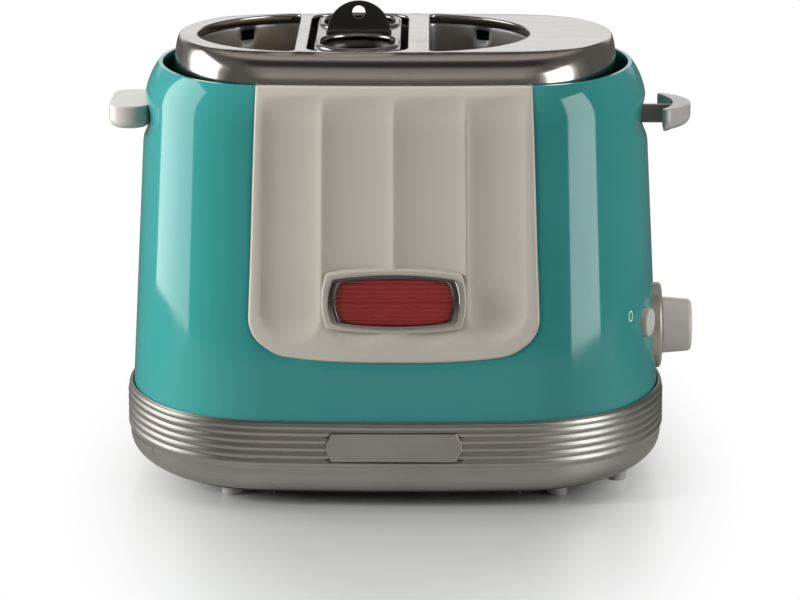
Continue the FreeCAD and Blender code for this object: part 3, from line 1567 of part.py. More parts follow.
def build_basket():
    """Build the sausage basket: plate with rolled rims, two windowed cups and a grip."""
    plate_top = S["cover_top"] - S["basket_seat_drop"]
    plate_low = plate_top - S["basket_plate_thickness"]
    wide, deep = S["basket_plate_half_width"], S["basket_plate_half_depth"]
    corner = S["basket_plate_corner"]
    plate = padded(
        "BasketPlate",
        lambda d: soft_rectangle(d, (-wide, wide), (-deep, deep), corner),
        plate_low,
        plate_top,
    )
    holes, rims = [], []
    cup_low = S["rack_top"] + S["rest_strip_thickness"]
    floor_top = cup_low + S["basket_floor"]
    for label, side in (("front", -1), ("rear", 1)):
        y = S["cup_centre"] * side
        low, high = plate_low - OVER, plate_top + OVER
        holes.append(padded(f"CupHole{label}", lambda d: cup_outline(d, y, ZERO), low, high))
        rim = body(f"Rim{label}")
        path = sketch(rim, f"RimPath{label}", lift=plate_top)
        cup_outline(path, y, S["cup_rim_radius"])
        profile = sketch(rim, f"RimProfile{label}", "XZ_Plane", S["cup_centre"] * -side)
        circle(profile, S["cup_half_width"] + S["cup_rim_radius"], plate_top, S["cup_rim_radius"])
        sweep(rim, profile, path, f"RimSweep{label}")
        rims.append(rim)
        outer = padded(f"CupOuter{label}", lambda d: cup_outline(d, y, S["cup_sheet"]), cup_low, plate_low)
        inner = padded(f"CupInner{label}", lambda d: cup_outline(d, y, ZERO), floor_top, plate_low + OVER)
        half = S["cup_window_width"] / 2
        margin = S["cup_window_margin"]
        z = (floor_top + margin, plate_low - margin)
        side_x = S["cup_half_width"] + OVER
        windows = [
            box(f"CupWindow{label}{i}", (-side_x, side_x), (y + shift - half, y + shift + half), z)
            for i, shift in enumerate((-S["cup_window_pitch"], ZERO, S["cup_window_pitch"]))
        ]
        drain = cylinder(f"CupDrain{label}", S["cup_drain_radius"], cup_low, "z", 0, y, S["belt_height"])
        cup = cut(f"Cup{label}", outer, inner, *windows, drain)
        node(cup, f"basket_cup_{label}", BASKET_X)
    node(cut("Basket", join("BasketStock", plate, *rims), *holes), "basket_plate", BASKET_X)
    owner = body("Grip")
    drawing = sketch(owner, "GripOutline", "XZ_Plane", -S["grip_half_thickness"])
    radius = S["grip_radius"]
    chain(drawing, [(-radius, ZERO), (radius, ZERO, radius, 1)])
    circle(drawing, ZERO, S["grip_hole_height"], S["grip_hole_radius"])
    pad(owner, drawing, 2 * S["grip_half_thickness"], "GripPad")
    deep = S["grip_foot_half_depth"]
    foot = box("GripFoot", (-radius, radius), (-deep, deep), (ZERO, S["grip_foot_height"]))
    node(join("GripStock", owner, foot), "basket_grip", BASKET_X, 0, plate_top)


def build_side_handle():
    """Build the fixed handle in the left scoop, and the two screws that hold it."""
    owner = body("HandleBody")
    drawing = sketch(owner, "HandleOutline", lift=S["handle_low"])
    root_x = SCOOP_X - S["scoop_depth"] + S["handle_seat_gap"]
    half = S["handle_half_length"]
    soft_rectangle(
        drawing, (-S["handle_reach"], -root_x), (-half, half), S["handle_corner_radius"]
    )
    block = pad(owner, drawing, S["handle_height"], "HandlePad")

    def rim_edge(edge):
        """Accept the edges that lie in the top or the bottom face."""
        return edge.BoundBox.ZLength < S["handle_seat_gap"].value

    fillet(owner, block, S["handle_edge_radius"], rim_edge, "HandleRound")
    seat_x = SCOOP_X - S["scoop_depth"] - S["shell_wall"] - S["handle_seat_gap"]
    tip_x = root_x + S["handle_screw_depth"]
    bores, screws = [], []
    for index, side in enumerate((-1, 1)):
        y, z = S["handle_screw_y"] * side, S["scoop_height"]
        hole = S["screw_radius"] + S["screw_gap"]
        bores.append(cylinder(f"HandleBore{index}", hole, tip_x - seat_x, "x", -tip_x, y, z))
        head_x, head = -seat_x, S["screw_head_height"]
        shank = cylinder(f"HandleShank{index}", S["screw_radius"], tip_x - seat_x, "x", -tip_x, y, z)
        cap = cylinder(f"HandleHead{index}", S["screw_head_radius"], head, "x", head_x, y, z)
        screws.append(join(f"HandleScrew{index}", shank, cap))
    node(cut("Handle", owner, *bores), "side_handle")
    node(group("HandleScrews", *screws), "handle_screws")


def build_browning_control():
    """Build the timer with its shaft, the dial ring and the knob."""
    z = S["knob_height"]
    fit = S["shaft_fit"]
    front = S["ring_back"] - S["timer_bush_length"]
    back, half = front - S["timer_depth"], S["timer_half_width"]
    case = box("TimerCase", (back, front), (-half, half), (z - half, z + half))
    neck = cylinder("TimerNeck", S["timer_bush_radius"], S["timer_bush_length"], "x", front, 0, z)
    start = front - S["shaft_sunk"]
    length = S["knob_reach"] - start
    bore = cylinder("TimerBore", S["shaft_radius"] + fit, length, "x", start, 0, z)
    node(cut("Timer", join("TimerStock", case, neck), bore), "timer")
    end = S["knob_base"] + S["shaft_sunk"]
    node(cylinder("Shaft", S["shaft_radius"], end - start, "x"), "timer_shaft", start, 0, z)
    for label, points, edge in (
        ("dial_ring", (S["ring_back"], S["ring_face"], S["ring_radius"], S["ring_radius"]), "ring"),
        ("control_knob", (S["knob_base"], S["knob_reach"], S["knob_base_radius"], S["knob_end_radius"]), "knob"),
    ):
        low, high, low_radius, high_radius = points
        owner = body(f"{edge}Body")
        drawing = sketch(owner, f"{edge}Profile", "XZ_Plane")
        chain(drawing, [(low, ZERO), (high, ZERO), (high, high_radius), (low, low_radius)])
        turn = owner.newObject("PartDesign::Revolution", f"{edge}Turn")
        turn.Profile = drawing
        turn.ReferenceAxis = (drawing, ["H_Axis"])
        turn.Angle = 360

        def outer_edge(item):
            """Accept the round edge at the outer end."""
            limit = S["overrun"].value / 2
            return abs(item.CenterOfMass.x - high.value) < limit and item.BoundBox.ZLength > limit

        fillet(owner, turn, S[f"{edge}_edge_radius"], outer_edge, f"{edge}Round")
        gap = fit if edge == "knob" else S["ring_gap"]
        hole = cylinder(f"{edge}Bore", S["shaft_radius"] + gap, end + fit - start, "x", start, 0, 0)
        node(cut(f"{edge}Part", owner, hole), label, 0, 0, z)


def build_cancel_button():
    """Build the cancel button with its stem, and the switch at the end of the boss."""
    skirt, travel = S["button_skirt"], S["button_travel"]
    disc = button_tool("ButtonDisc", S["button_radius"], -S["button_rise"], skirt)
    tip = S["boss_length"] - travel - S["button_gap"]
    stem = button_tool("ButtonStem", S["button_stem_radius"], skirt, tip)
    doc.recompute()
    rounded = doc.addObject("Part::Fillet", "ButtonRound")
    rounded.Base = disc
    radius = S["button_edge_radius"].value
    outer = max(range(len(disc.Shape.Edges)), key=lambda i: outwards(disc.Shape.Edges[i]))
    rounded.Edges = [(outer + 1, radius, radius)]
    node(join("Button", rounded, stem), "cancel_button")
    half, far = S["switch_half_width"], S["boss_length"] + S["switch_length"]
    case = doc.addObject("Part::Box", "SwitchCase")
    bind(case, "Length", S["switch_length"])
    bind(case, "Width", 2 * half)
    bind(case, "Height", 2 * half)
    turn, reach = S["button_angle"], button_crown() - far
    case.Placement.Rotation = FreeCAD.Rotation(FreeCAD.Vector(0, 0, 1), -turn.value)
    x = S["body_half_width"] - S["side_crown_radius"] + reach * cosine(turn) - half * sine(turn)
    y = -reach * sine(turn) - half * cosine(turn)
    node(case, "cancel_switch", x, y, S["button_height"] - half)


def outwards(edge):
    """Return how far out an edge of the button lies, or nothing for its straight seam."""
    return edge.CenterOfMass.x if edge.Closed else 0


def build_electrics():
    """Build the circuit board, its parts, the terminal block and the cord inlet's bush."""
    left, right = S["board_x"], S["board_x"] + S["board_thickness"]
    half = S["board_half_width"]
    box_node("circuit_board", (left, right), (-half, half), (FLANGE_TOP, S["board_top"]))
    size = S["relay_size"]
    y, z = half - size, FLANGE_TOP + size / 2
    parts = [box("Relay", (right, right + size), (y - size / 2, y + size / 2), (z, z + size))]
    radius = S["capacitor_radius"]
    z = FLANGE_TOP + 2 * radius
    for index, y in enumerate((-2 * radius, radius)):
        parts.append(cylinder(f"Capacitor{index}", radius, size, "x", right, y, z))
    node(group("BoardParts", *parts), "board_parts")
    x, y, size = S["terminal_x"], S["terminal_y"], S["terminal_size"]
    low = S["skirt_bottom"]
    box_node("terminal_block", (x, x + size), (y, y + size / 2), (low, low + size))
    face = S["body_half_depth"] + S["skirt_groove_outset"] + S["rib_bulge"]
    flange = S["inlet_flange"]
    back = face - S["skirt_wall"] - 2 * S["rib_bulge"] - flange
    x, z = S["inlet_x"], S["inlet_height"]
    shank = cylinder("BushShank", S["inlet_radius"], face - back, "y", x, back, z)
    outer = cylinder("BushFlange", S["inlet_flange_radius"], flange, "y", x, face, z)
    bore = cylinder("BushBore", S["inlet_bore"], S["body_half_depth"], "y", x, back - OVER, z)
    node(cut("CordBush", join("BushStock", shank, outer), bore), "cord_bush")


def check(things):
    """Stop with the names of the objects that didn't build."""
    bad = [item.Name for item in doc.Objects if {"Invalid", "Error"} & set(item.State)]
    bad += [item.Label for item in things if item.Shape.isNull() or not item.Shape.isValid()]
    bad += [item.Label for item in things if not item.Shape.Solids]
    if bad:
        raise RuntimeError(f"these objects failed: {sorted(set(bad))}")


def main():
    """Build every sub-part, check it and write it."""
    build_body_shell()
    build_front_panel()
    build_badge()
    build_base_skirt()
    build_name_plate()
    build_base()
    build_crumb_tray()
    build_top_cover()
    build_wells()
    build_heaters()
    build_chassis()
    build_carriage()
    build_basket()
    build_side_handle()
    build_browning_control()
    build_cancel_button()
    build_electrics()
    doc.recompute()
    check(NODES)
    os.makedirs("parts", exist_ok=True)
    for item in NODES:
        item.Shape.exportStep(f"parts/{item.Label}.step")
    print(f"wrote {len(NODES)} sub-parts")


main()
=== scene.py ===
"""Dressed scene of a countertop hot dog maker: its visible pieces, finishes, light and camera.

Sizes are millimetres about the body's own middle, +Z up and the front at -Y. The meshes are made
in metres in the frame's axes, where the body's middle stands 3.7 mm towards -X.
"""
import sys
import logging
import math
from dataclasses import dataclass, field, replace
from enum import Enum
from functools import cache
from typing import Callable, Optional, Sequence

import bmesh
import bpy
import numpy as np
from mathutils import Matrix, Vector
from mathutils.geometry import delaunay_2d_cdt


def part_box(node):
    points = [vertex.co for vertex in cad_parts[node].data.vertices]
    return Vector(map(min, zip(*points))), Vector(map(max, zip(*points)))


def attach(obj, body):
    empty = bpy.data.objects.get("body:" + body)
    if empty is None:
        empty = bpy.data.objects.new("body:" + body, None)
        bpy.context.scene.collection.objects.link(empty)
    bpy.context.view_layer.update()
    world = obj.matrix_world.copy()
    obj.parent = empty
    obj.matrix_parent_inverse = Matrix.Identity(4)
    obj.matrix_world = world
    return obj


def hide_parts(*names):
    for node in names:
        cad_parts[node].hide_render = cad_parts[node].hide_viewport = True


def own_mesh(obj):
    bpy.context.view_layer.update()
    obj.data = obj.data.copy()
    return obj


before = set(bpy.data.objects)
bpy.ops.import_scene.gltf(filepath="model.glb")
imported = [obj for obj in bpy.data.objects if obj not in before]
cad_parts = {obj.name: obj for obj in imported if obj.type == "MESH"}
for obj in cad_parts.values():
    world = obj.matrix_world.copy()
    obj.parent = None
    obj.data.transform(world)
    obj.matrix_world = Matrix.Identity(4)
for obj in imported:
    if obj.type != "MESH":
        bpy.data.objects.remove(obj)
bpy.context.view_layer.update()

# Points closer than WELD metres become one. The middle of the body stands at AXIS_X, and FLAT_RIM is
# the flat run beside a plate's rounded rim.
LOG = logging.getLogger("hot_dog_maker")
MM = 0.001
WELD = 2e-6
AXIS_X = -3.7
FLAT_RIM = 0.4
Arc = tuple[float, float, float, float, float]
Array = np.ndarray
Colour = tuple[float, float, float, float]
Triple = tuple[float, float, float]
Corners = Sequence[Triple]
Piece = bpy.types.Object
Pieces = list[Piece]
Socket = bpy.types.NodeSocket
NodeTree = bpy.types.NodeTree
Material = bpy.types.Material
BUN_WIDTH, BUN_RADIUS, BUN_CORNER = 49.4, 57.5, 4.0


def tangent_arcs(half_width: float, half_depth: float, front: float, side: float, corner: float) -> list[Arc]:
    """Work out a barrel or oval of eight arcs that run smoothly into each other.

    A corner's centre is where a circle of (front - corner) about the front arc's centre meets a
    circle of (side - corner) about the side arc's centre.

    Args:
        half_width: Reach to the sides.
        half_depth: Reach to the front and back.
        front: Radius of the front and back arcs.
        side: Radius of the side arcs.
        corner: Radius of the four corners.

    Returns:
        Arcs as (x, y, radius, start, end) in degrees, counter-clockwise.
    """
    lift, shift = front - half_depth, half_width - side
    one, two = front - corner, side - corner
    apart = math.hypot(lift, shift)
    along = (one * one - two * two + apart * apart) / (2 * apart)
    across = math.sqrt(one * one - along * along)
    ux, uy = shift / apart, -lift / apart
    cx, cy = ux * along - uy * across, lift + uy * along + ux * across
    if cx < 0 or cy > 0:
        cx, cy = ux * along + uy * across, lift + uy * along - ux * across
    cy = abs(cy)
    b = math.degrees(math.atan2(cy, cx - shift))
    g = math.degrees(math.atan2(cx, lift + cy))
    return [
        (shift, 0, side, -b, b),
        (cx, cy, corner, b, 90 - g),
        (0, -lift, front, 90 - g, 90 + g),
        (-cx, cy, corner, 90 + g, 180 - b),
        (-shift, 0, side, 180 - b, 180 + b),
        (-cx, -cy, corner, 180 + b, 270 - g),
        (0, lift, front, 270 - g, 270 + g),
        (cx, -cy, corner, 270 + g, 360 - b),
    ]


def soft_rectangle(half_x: float, half_y: float, corner: float, x: float = 0, y: float = 0) -> list[Arc]:
    """Work out a rectangle with round corners.

    Args:
        half_x: Half its width.
        half_y: Half its height.
        corner: Radius of its corners.
        x: Its middle along x.
        y: Its middle along y.

    Returns:
        Its four corner arcs.
    """
    a, b = half_x - corner, half_y - corner
    return [
        (x + a, y + b, corner, 0, 90),
        (x - a, y + b, corner, 90, 180),
        (x - a, y - b, corner, 180, 270),
        (x + a, y - b, corner, 270, 360),
    ]


def dee(edge: float, side: int) -> list[Arc]:
    """Work out a bun opening, which is straight on one side and round on the other.

    Args:
        edge: Where the straight side stands.
        side: 1 for a round side towards +X, or -1.

    Returns:
        Its arcs, counter-clockwise.
    """
    centre, small = BUN_WIDTH - BUN_RADIUS, BUN_CORNER
    corner_y = math.sqrt((BUN_RADIUS - small) ** 2 - (small - centre) ** 2)
    meet = math.degrees(math.atan2(corner_y, small - centre))
    arcs = [
        (centre, 0, BUN_RADIUS, -meet, meet),
        (small, corner_y, small, meet, 180),
        (small, -corner_y, small, 180, 360 - meet),
    ]
    if side < 0:
        arcs = [(-x, y, r, 180 - b, 180 - a) for x, y, r, a, b in reversed(arcs)]
    return [(x + edge, y, r, a, b) for x, y, r, a, b in arcs]


@dataclass(frozen=True)
class Outline:
    """A closed line seen from above, as points with outward unit normals."""

    base: Array
    normal: Array

    @staticmethod
    def of_arcs(arcs: Sequence[Arc], step: float, keep: Sequence[float] = ()) -> "Outline":
        """Sample arcs and the straight runs between them.

        A point is its arc's centre plus radius times (cos a, sin a), and its normal is that
        direction. A negative radius with falling angles makes a hollow arc.

        Args:
            arcs: Arcs in order, counter-clockwise.
            step: Longest distance between two points.
            keep: Normal angles in degrees at which a point must stand.

        Returns:
            The sampled outline.
        """
        points, normals = [], []
        starts = [
            np.array((x + r * math.cos(math.radians(a)), y + r * math.sin(math.radians(a))))
            for x, y, r, a, _ in arcs
        ]
        for index, (x, y, r, a, b) in enumerate(arcs):
            low, high = min(a, b), max(a, b)
            inside = [k for k in keep if low + 0.01 < k < high - 0.01]
            marks = [a, *sorted(inside, reverse=b < a), b]
            runs = [
                np.linspace(p, q, max(1, math.ceil(abs(r * math.radians(q - p)) / step)) + 1)[:-1]
                for p, q in zip(marks, marks[1:])
            ]
            angle = np.radians(np.concatenate(runs + [np.array([b])]))
            direction = np.stack((np.cos(angle), np.sin(angle)), 1)
            line = np.array((x, y)) + r * direction
            gap = starts[(index + 1) % len(arcs)] - line[-1]
            length = float(np.hypot(*gap))
            if length < 1e-4:
                points.append(line[:-1])
                normals.append(direction[:-1])
                continue
            count = max(1, math.ceil(length / step))
            share = (np.arange(1, count) / count)[:, None]
            points += [line, line[-1] + gap * share]
            normals += [direction, np.repeat(direction[-1:], count - 1, 0)]
        return Outline(np.concatenate(points), np.concatenate(normals))

    @staticmethod
    def of_angles(arcs: Sequence[Arc], angles: Array) -> "Outline":
        """Sample arcs that join smoothly at the given normal angles, in degrees.

        Args:
            arcs: Arcs in order, counter-clockwise.
            angles: The angles.

        Returns:
            The sampled outline.
        """
        turn = (angles - arcs[0][3]) % 360 + arcs[0][3]
        table = np.array(arcs)
        row = np.clip(np.searchsorted(table[:, 3], turn, side="right") - 1, 0, len(arcs) - 1)
        direction = np.stack((np.cos(np.radians(turn)), np.sin(np.radians(turn))), 1)
        return Outline(table[row, :2] + table[row, 2:3] * direction, direction)

    def at(self, offset: float) -> Array:
        """Return the points moved out by an offset."""
        return self.base + offset * self.normal

    def swept(self, profile: Array) -> Array:
        """Carry a profile round the line: each point moves out by the offset and up to the height.

        Args:
            profile: Rows of (offset, height).

        Returns:
            Points of shape (rows, columns, 3).
        """
        flat = self.base[None] + profile[:, 0, None, None] * self.normal[None]
        height = np.broadcast_to(profile[:, 1, None, None], flat.shape[:2] + (1,))
        return np.concatenate((flat, height), 2)


def circle(radius: float, count: int = 64, x: float = 0, y: float = 0) -> Outline:
    """Return a circle of evenly spaced points.

    Args:
        radius: Its radius.
        count: Number of points.
        x: Its middle along x.
        y: Its middle along y.

    Returns:
        The circle.
    """
    angle = np.arange(count) * 2 * np.pi / count
    direction = np.stack((np.cos(angle), np.sin(angle)), 1)
    return Outline(np.array((x, y)) + radius * direction, direction)


def rounded(corners: Corners, closed: bool = False, steps: int = 5) -> Array:
    """Round the corners of a line of (offset, height, radius) points.

    A corner of radius r that turns by angle t gives way to an arc that starts and ends
    r tan(t / 2) from it.

    Args:
        corners: The line's corners.
        closed: Whether the last point runs on to the first.
        steps: Straight runs in each arc.

    Returns:
        Rows of (offset, height).
    """
    rows = []
    count = len(corners)
    for index, (a, b, radius) in enumerate(corners):
        here = np.array((a, b), float)
        inner = closed or 0 < index < count - 1
        if radius <= 0 or not inner:
            rows.append(here[None])
            continue
        before = here - np.array(corners[index - 1][:2])
        after = np.array(corners[(index + 1) % count][:2]) - here
        before, after = before / np.hypot(*before), after / np.hypot(*after)
        turn = math.atan2(before[0] * after[1] - before[1] * after[0], float(before @ after))
        back = radius * math.tan(abs(turn) / 2)
        side = np.array((-before[1], before[0])) * math.copysign(radius, turn)
        centre = here - before * back + side
        angle = turn * np.arange(steps + 1)[:, None] / steps
        rows.append(centre - np.cos(angle) * side + np.sin(angle) * np.array((side[1], -side[0])))
    return np.concatenate(rows)


def grid_faces(rows: int, columns: int, ring: bool) -> Array:
    """Return the quads of a grid of points, as rows of four indices.

    Args:
        rows: Rows of points.
        columns: Columns of points.
        ring: Whether the last column runs on to the first.

    Returns:
        Faces of shape (cell rows, cell columns, 4).
    """
    r, c = np.meshgrid(np.arange(rows - 1), np.arange(columns if ring else columns - 1), indexing="ij")
    up, on = r + 1, (c + 1) % columns
    return np.stack((r * columns + c, r * columns + on, up * columns + on, up * columns + c), -1)


@dataclass(frozen=True)
class Placing:
    """Where a mesh's own axes u, v and w point, and where its origin stands."""

    origin: Triple = (0, 0, 0)
    u: Triple = (1, 0, 0)
    v: Triple = (0, 1, 0)
    w: Triple = (0, 0, 1)

    def __call__(self, points: Array) -> Array:
        """Return points given along u, v and w as points along x, y and z."""
        return np.array(self.origin) + points @ np.array((self.u, self.v, self.w))


def inside(points: Array, loop: Array) -> Array:
    """Tell which points lie in a closed line: a ray from them crosses it an odd number of times.

    Args:
        points: Rows of (x, y).
        loop: The line's corners.

    Returns:
        A mask of the points.
    """
    x, y = points[:, 0, None], points[:, 1, None]
    ax, ay = loop[None, :, 0], loop[None, :, 1]
    bx, by = np.roll(ax, -1, 1), np.roll(ay, -1, 1)
    rise = np.where(np.abs(by - ay) < 1e-12, 1e-12, by - ay)
    crossed = ((ay > y) != (by > y)) & (x < (bx - ax) * (y - ay) / rise + ax)
    return crossed.sum(1) % 2 == 1


@dataclass
class Surface:
    """Points and faces that grow into one mesh."""

    points: list = field(default_factory=list)
    faces: list = field(default_factory=list)
    count: int = 0

    def add(self, points: Array, faces: Array) -> "Surface":
        """Add points of shape (..., 3) and faces that count from their first point.

        Args:
            points: The new points.
            faces: Rows of indices, all of one length.

        Returns:
            This surface.
        """
        flat = points.reshape(-1, 3)
        self.points.append(flat)
        self.faces += (np.asarray(faces).reshape(-1, np.shape(faces)[-1]) + self.count).tolist()
        self.count += len(flat)
        return self

    def join(self, other: "Surface") -> "Surface":
        """Add all points and faces of another surface.

        Args:
            other: The other surface.

        Returns:
            This surface.
        """
        self.points += other.points
        self.faces += [[index + self.count for index in face] for face in other.faces]
        self.count += other.count
        return self

    def wall(self, grid: Array, ring: bool = True, kept: Optional[Array] = None) -> "Surface":
        """Add a grid of points as quads.

        Args:
            grid: Points of shape (rows, columns, 3).
            ring: Whether the last column runs on to the first.
            kept: Mask of the cells that are kept.

        Returns:
            This surface.
        """
        faces = grid_faces(grid.shape[0], grid.shape[1], ring)
        return self.add(grid, faces.reshape(-1, 4) if kept is None else faces[kept])

    def lid(self, loop: Array, up: bool = True) -> "Surface":
        """Close a flat ring of points with one face."""
        order = np.arange(len(loop))[None]
        return self.add(loop, order if up else order[:, ::-1])

    def sheet(
        self,
        outer: Array,
        holes: Sequence[Array],
        height: float,
        up: bool = True,
        inner: Optional[Array] = None,
    ) -> "Surface":
        """Fill the flat area between an outer ring and holes with triangles.

        Args:
            outer: The outer ring's points.
            holes: Each hole's points.
            height: Where the sheet lies.
            up: Whether it faces up.
            inner: Points that the triangles also meet.

        Returns:
            This surface.
        """
        rings = [outer, *holes]
        flat = np.concatenate(rings if inner is None else [*rings, inner])
        edges, first = [], 0
        for ring in rings:
            order = first + np.arange(len(ring))
            edges.append(np.stack((order, np.roll(order, -1)), 1))
            first += len(ring)
        result = delaunay_2d_cdt(flat.tolist(), np.concatenate(edges).tolist(), [], 1, 1e-6)
        corners = np.array([tuple(p) for p in result[0]])
        triangles = np.array(result[2])
        middle = corners[triangles].mean(1)
        kept = inside(middle, outer)
        for hole in holes:
            kept &= ~inside(middle, hole)
        triangles = triangles[kept]
        a, b, c = (corners[triangles[:, i]] for i in range(3))
        area = (b - a)[:, 0] * (c - a)[:, 1] - (b - a)[:, 1] * (c - a)[:, 0]
        wrong = (area < 0) if up else (area > 0)
        triangles[wrong] = triangles[wrong][:, ::-1]
        full = np.concatenate((corners, np.full((len(corners), 1), height)), 1)
        return self.add(full, triangles)

    def plate(
        self, outer: Outline, holes: Sequence[Outline], low: float, high: float, edge: float, steps: int = 4
    ) -> "Surface":
        """Add a closed flat plate.

        Args:
            outer: Its outline.
            holes: The outlines of its holes.
            low: The height of its lower face.
            high: The height of its upper face.
            edge: Radius of its rims, outside and in the holes.
            steps: Straight runs in each rounded rim.

        Returns:
            This surface.
        """
        flat = edge + FLAT_RIM
        side = rounded([(-flat, low, 0), (0, low, edge), (0, high, edge), (-flat, high, 0)], steps=steps)
        self.wall(outer.swept(side))
        for hole in holes:
            rim = rounded([(flat, high, 0), (0, high, edge), (0, low, edge), (flat, low, 0)], steps=steps)
            self.wall(hole.swept(rim))
        openings = [hole.at(flat) for hole in holes]
        self.sheet(outer.at(-flat), openings, high)
        return self.sheet(outer.at(-flat), openings, low, up=False)

    def tube(self, grid: Array) -> "Surface":
        """Add a grid of rings and close its first and last one with flat lids."""
        return self.wall(grid).lid(grid[0], up=False).lid(grid[-1])

    def spun(self, corners: Corners, steps: int, count: int = 64) -> "Surface":
        """Turn a rounded line of (radius, height, corner radius) about the w axis and close its ends."""
        return self.tube(circle(0, count).swept(rounded(corners, steps=steps)))

    def moved(self, placing: Callable[[Array], Array]) -> "Surface":
        """Put all points so far through a placing."""
        self.points = [placing(np.concatenate(self.points))]
        return self


class Body(Enum):
    """The bodies that pieces ride on."""

    BASE = "base"
    CARRIAGE = "carriage"
    BASKET = "basket"
    KNOB = "knob"
    BUTTON = "button"
    TRAY = "tray"


def linear(red: int, green: int, blue: int) -> Colour:
    """Return a display colour of 0 to 255 as the linear colour that shaders take.

    With s a share of 255, it is s / 12.92 up to 0.04045, and ((s + 0.055) / 1.055) to the 2.4 above.

    Args:
        red: Red from 0 to 255.
        green: Green, likewise.
        blue: Blue, likewise.

    Returns:
        Red, green and blue from 0 to 1, and an alpha of 1.
    """
    share = np.array((red, green, blue)) / 255
    value = np.where(share <= 0.04045, share / 12.92, ((share + 0.055) / 1.055) ** 2.4)
    return (*(float(v) for v in value), 1.0)


class Tree:
    """A node tree with short ways to add and join nodes."""

    def __init__(self, tree: NodeTree) -> None:
        """Keep the tree."""
        self.tree = tree

    def of_type(self, kind: str) -> bpy.types.Node:
        """Return the tree's own node of a type."""
        return next(node for node in self.tree.nodes if node.type == kind)

    def feed(self, target: Socket, value: object) -> None:
        """Give an input a plain value, or join it to the output that is given.

        Args:
            target: The input.
            value: The value or output.
        """
        if isinstance(value, Socket):
            self.tree.links.new(value, target)
        else:
            target.default_value = value

    def add(self, kind: str, inputs: Optional[dict] = None, **settings: object) -> bpy.types.Node:
        """Add a node.

        Args:
            kind: The node's type without its ShaderNode prefix.
            inputs: Value or output for each named or numbered input.
            settings: Properties of the node itself.

        Returns:
            The new node.
        """
        node = self.tree.nodes.new(f"ShaderNode{kind}")
        for name, value in settings.items():
            setattr(node, name, value)
        for name, value in (inputs or {}).items():
            self.feed(node.inputs[name], value)
        return node

    def maths(self, operation: str, *values: object) -> Socket:
        """Add a maths node and return its result."""
        return self.add("Math", dict(enumerate(values)), operation=operation).outputs[0]

    def ramp(
        self, value: object, low: float, high: float, to_low: float = 0, to_high: float = 1
    ) -> Socket:
        """Map a value smoothly from one range onto another."""
        inputs = {"Value": value, "From Min": low, "From Max": high, "To Min": to_low, "To Max": to_high}
        return self.add("MapRange", inputs, interpolation_type="SMOOTHSTEP").outputs["Result"]

    def mix(self, share: object, one: object, two: object) -> Socket:
        """Mix two colours by a share and return the result."""
        return self.add("Mix", {0: share, 6: one, 7: two}, data_type="RGBA").outputs[2]

    def noise(self, where: object, scale: object, detail: float, **more: float) -> Socket:
        """Return the value of a noise at a place; more names its other inputs."""
        inputs = {"Vector": where, "Scale": scale, "Detail": detail, **more}
        return self.add("TexNoise", inputs).outputs[0]

    def scaled(self, vector: object, size: object) -> Socket:
        """Return a vector or colour times a number."""
        return self.add("VectorMath", {0: vector, "Scale": size}, operation="SCALE").outputs[0]

    def seen(self) -> tuple[Socket, Socket]:
        """Return whether a ray is the camera's own, straight or through clear things, or a glossy one.

        Returns:
            Both as shares of 0 or 1.
        """
        path = self.add("LightPath").outputs
        own = self.maths("MAXIMUM", path["Is Camera Ray"], path["Is Transmission Ray"])
        return own, path["Is Glossy Ray"]


class Group(Tree):
    """A shader node group while it is being built."""

    def __init__(self, name: str, inputs: dict[str, object], outputs: Sequence[str]) -> None:
        """Start the group.

        Args:
            name: The group's name.
            inputs: Default value of each input; a triple is a vector and a quadruple a colour.
            outputs: Names of the outputs, of which only one called Color is a colour.
        """
        super().__init__(bpy.data.node_groups.new(name, "ShaderNodeTree"))
        for label, value in inputs.items():
            kind = "Float" if isinstance(value, (int, float)) else {3: "Vector", 4: "Color"}[len(value)]
            self.socket(label, "INPUT", kind).default_value = value
        for label in outputs:
            self.socket(label, "OUTPUT", "Color" if label == "Color" else "Float")
        entry = self.tree.nodes.new("NodeGroupInput")
        self.leave = self.tree.nodes.new("NodeGroupOutput")
        self.given = {label: entry.outputs[label] for label in inputs}

    def socket(self, label: str, way: str, kind: str) -> bpy.types.NodeTreeInterfaceSocket:
        """Add a socket to the group's own face."""
        return self.tree.interface.new_socket(name=label, in_out=way, socket_type=f"NodeSocket{kind}")

    def close(self, results: dict[str, Socket]) -> NodeTree:
        """Join the results to the outputs and return the group.

        Args:
            results: What goes to each output.

        Returns:
            The group.
        """
        for label, socket in results.items():
            self.feed(self.leave.inputs[label], socket)
        return self.tree


GREY: Colour = (0.5, 0.5, 0.5, 1)
EFFECT = ("Color", "Roughness", "Height")


@cache
def moulded_group() -> NodeTree:
    """Build the skin of moulded or lacquered plastic.

    Broad clouds shift the colour by a few percent, faint smudges lift the roughness, short fine
    scratches cross them, and a small ripple of the surface gives the height.

    Returns:
        The group.
    """
    amounts = {"Cloud": 0.04, "Roughness": 0.2, "Smudge": 0.08, "Ripple": 250.0}
    group = Group("MouldedSkin", {"Vector": (0, 0, 0), "Color": GREY, **amounts}, EFFECT)
    given = group.given
    where = given["Vector"]
    tone = group.ramp(group.noise(where, 14.0, 4.0), 0.3, 0.7, -1, 1)
    colour = group.scaled(given["Color"], group.maths("MULTIPLY_ADD", tone, given["Cloud"], 1.0))
    smudge = group.ramp(group.noise(where, 45.0, 6.0, Roughness=0.7, Distortion=1.2), 0.45, 0.75)
    rough = group.maths("MULTIPLY_ADD", smudge, given["Smudge"], given["Roughness"])
    lines = group.add("Mapping", {"Vector": where, "Rotation": (0.3, 0.2, 0.6), "Scale": (60, 900, 900)})
    scratch = group.ramp(group.noise(lines.outputs[0], 1.0, 2.0), 0.68, 0.8)
    rough = group.maths("MULTIPLY_ADD", scratch, 0.05, rough)
    ripple = group.noise(where, given["Ripple"], 2.0)
    return group.close({"Color": colour, "Roughness": rough, "Height": ripple})


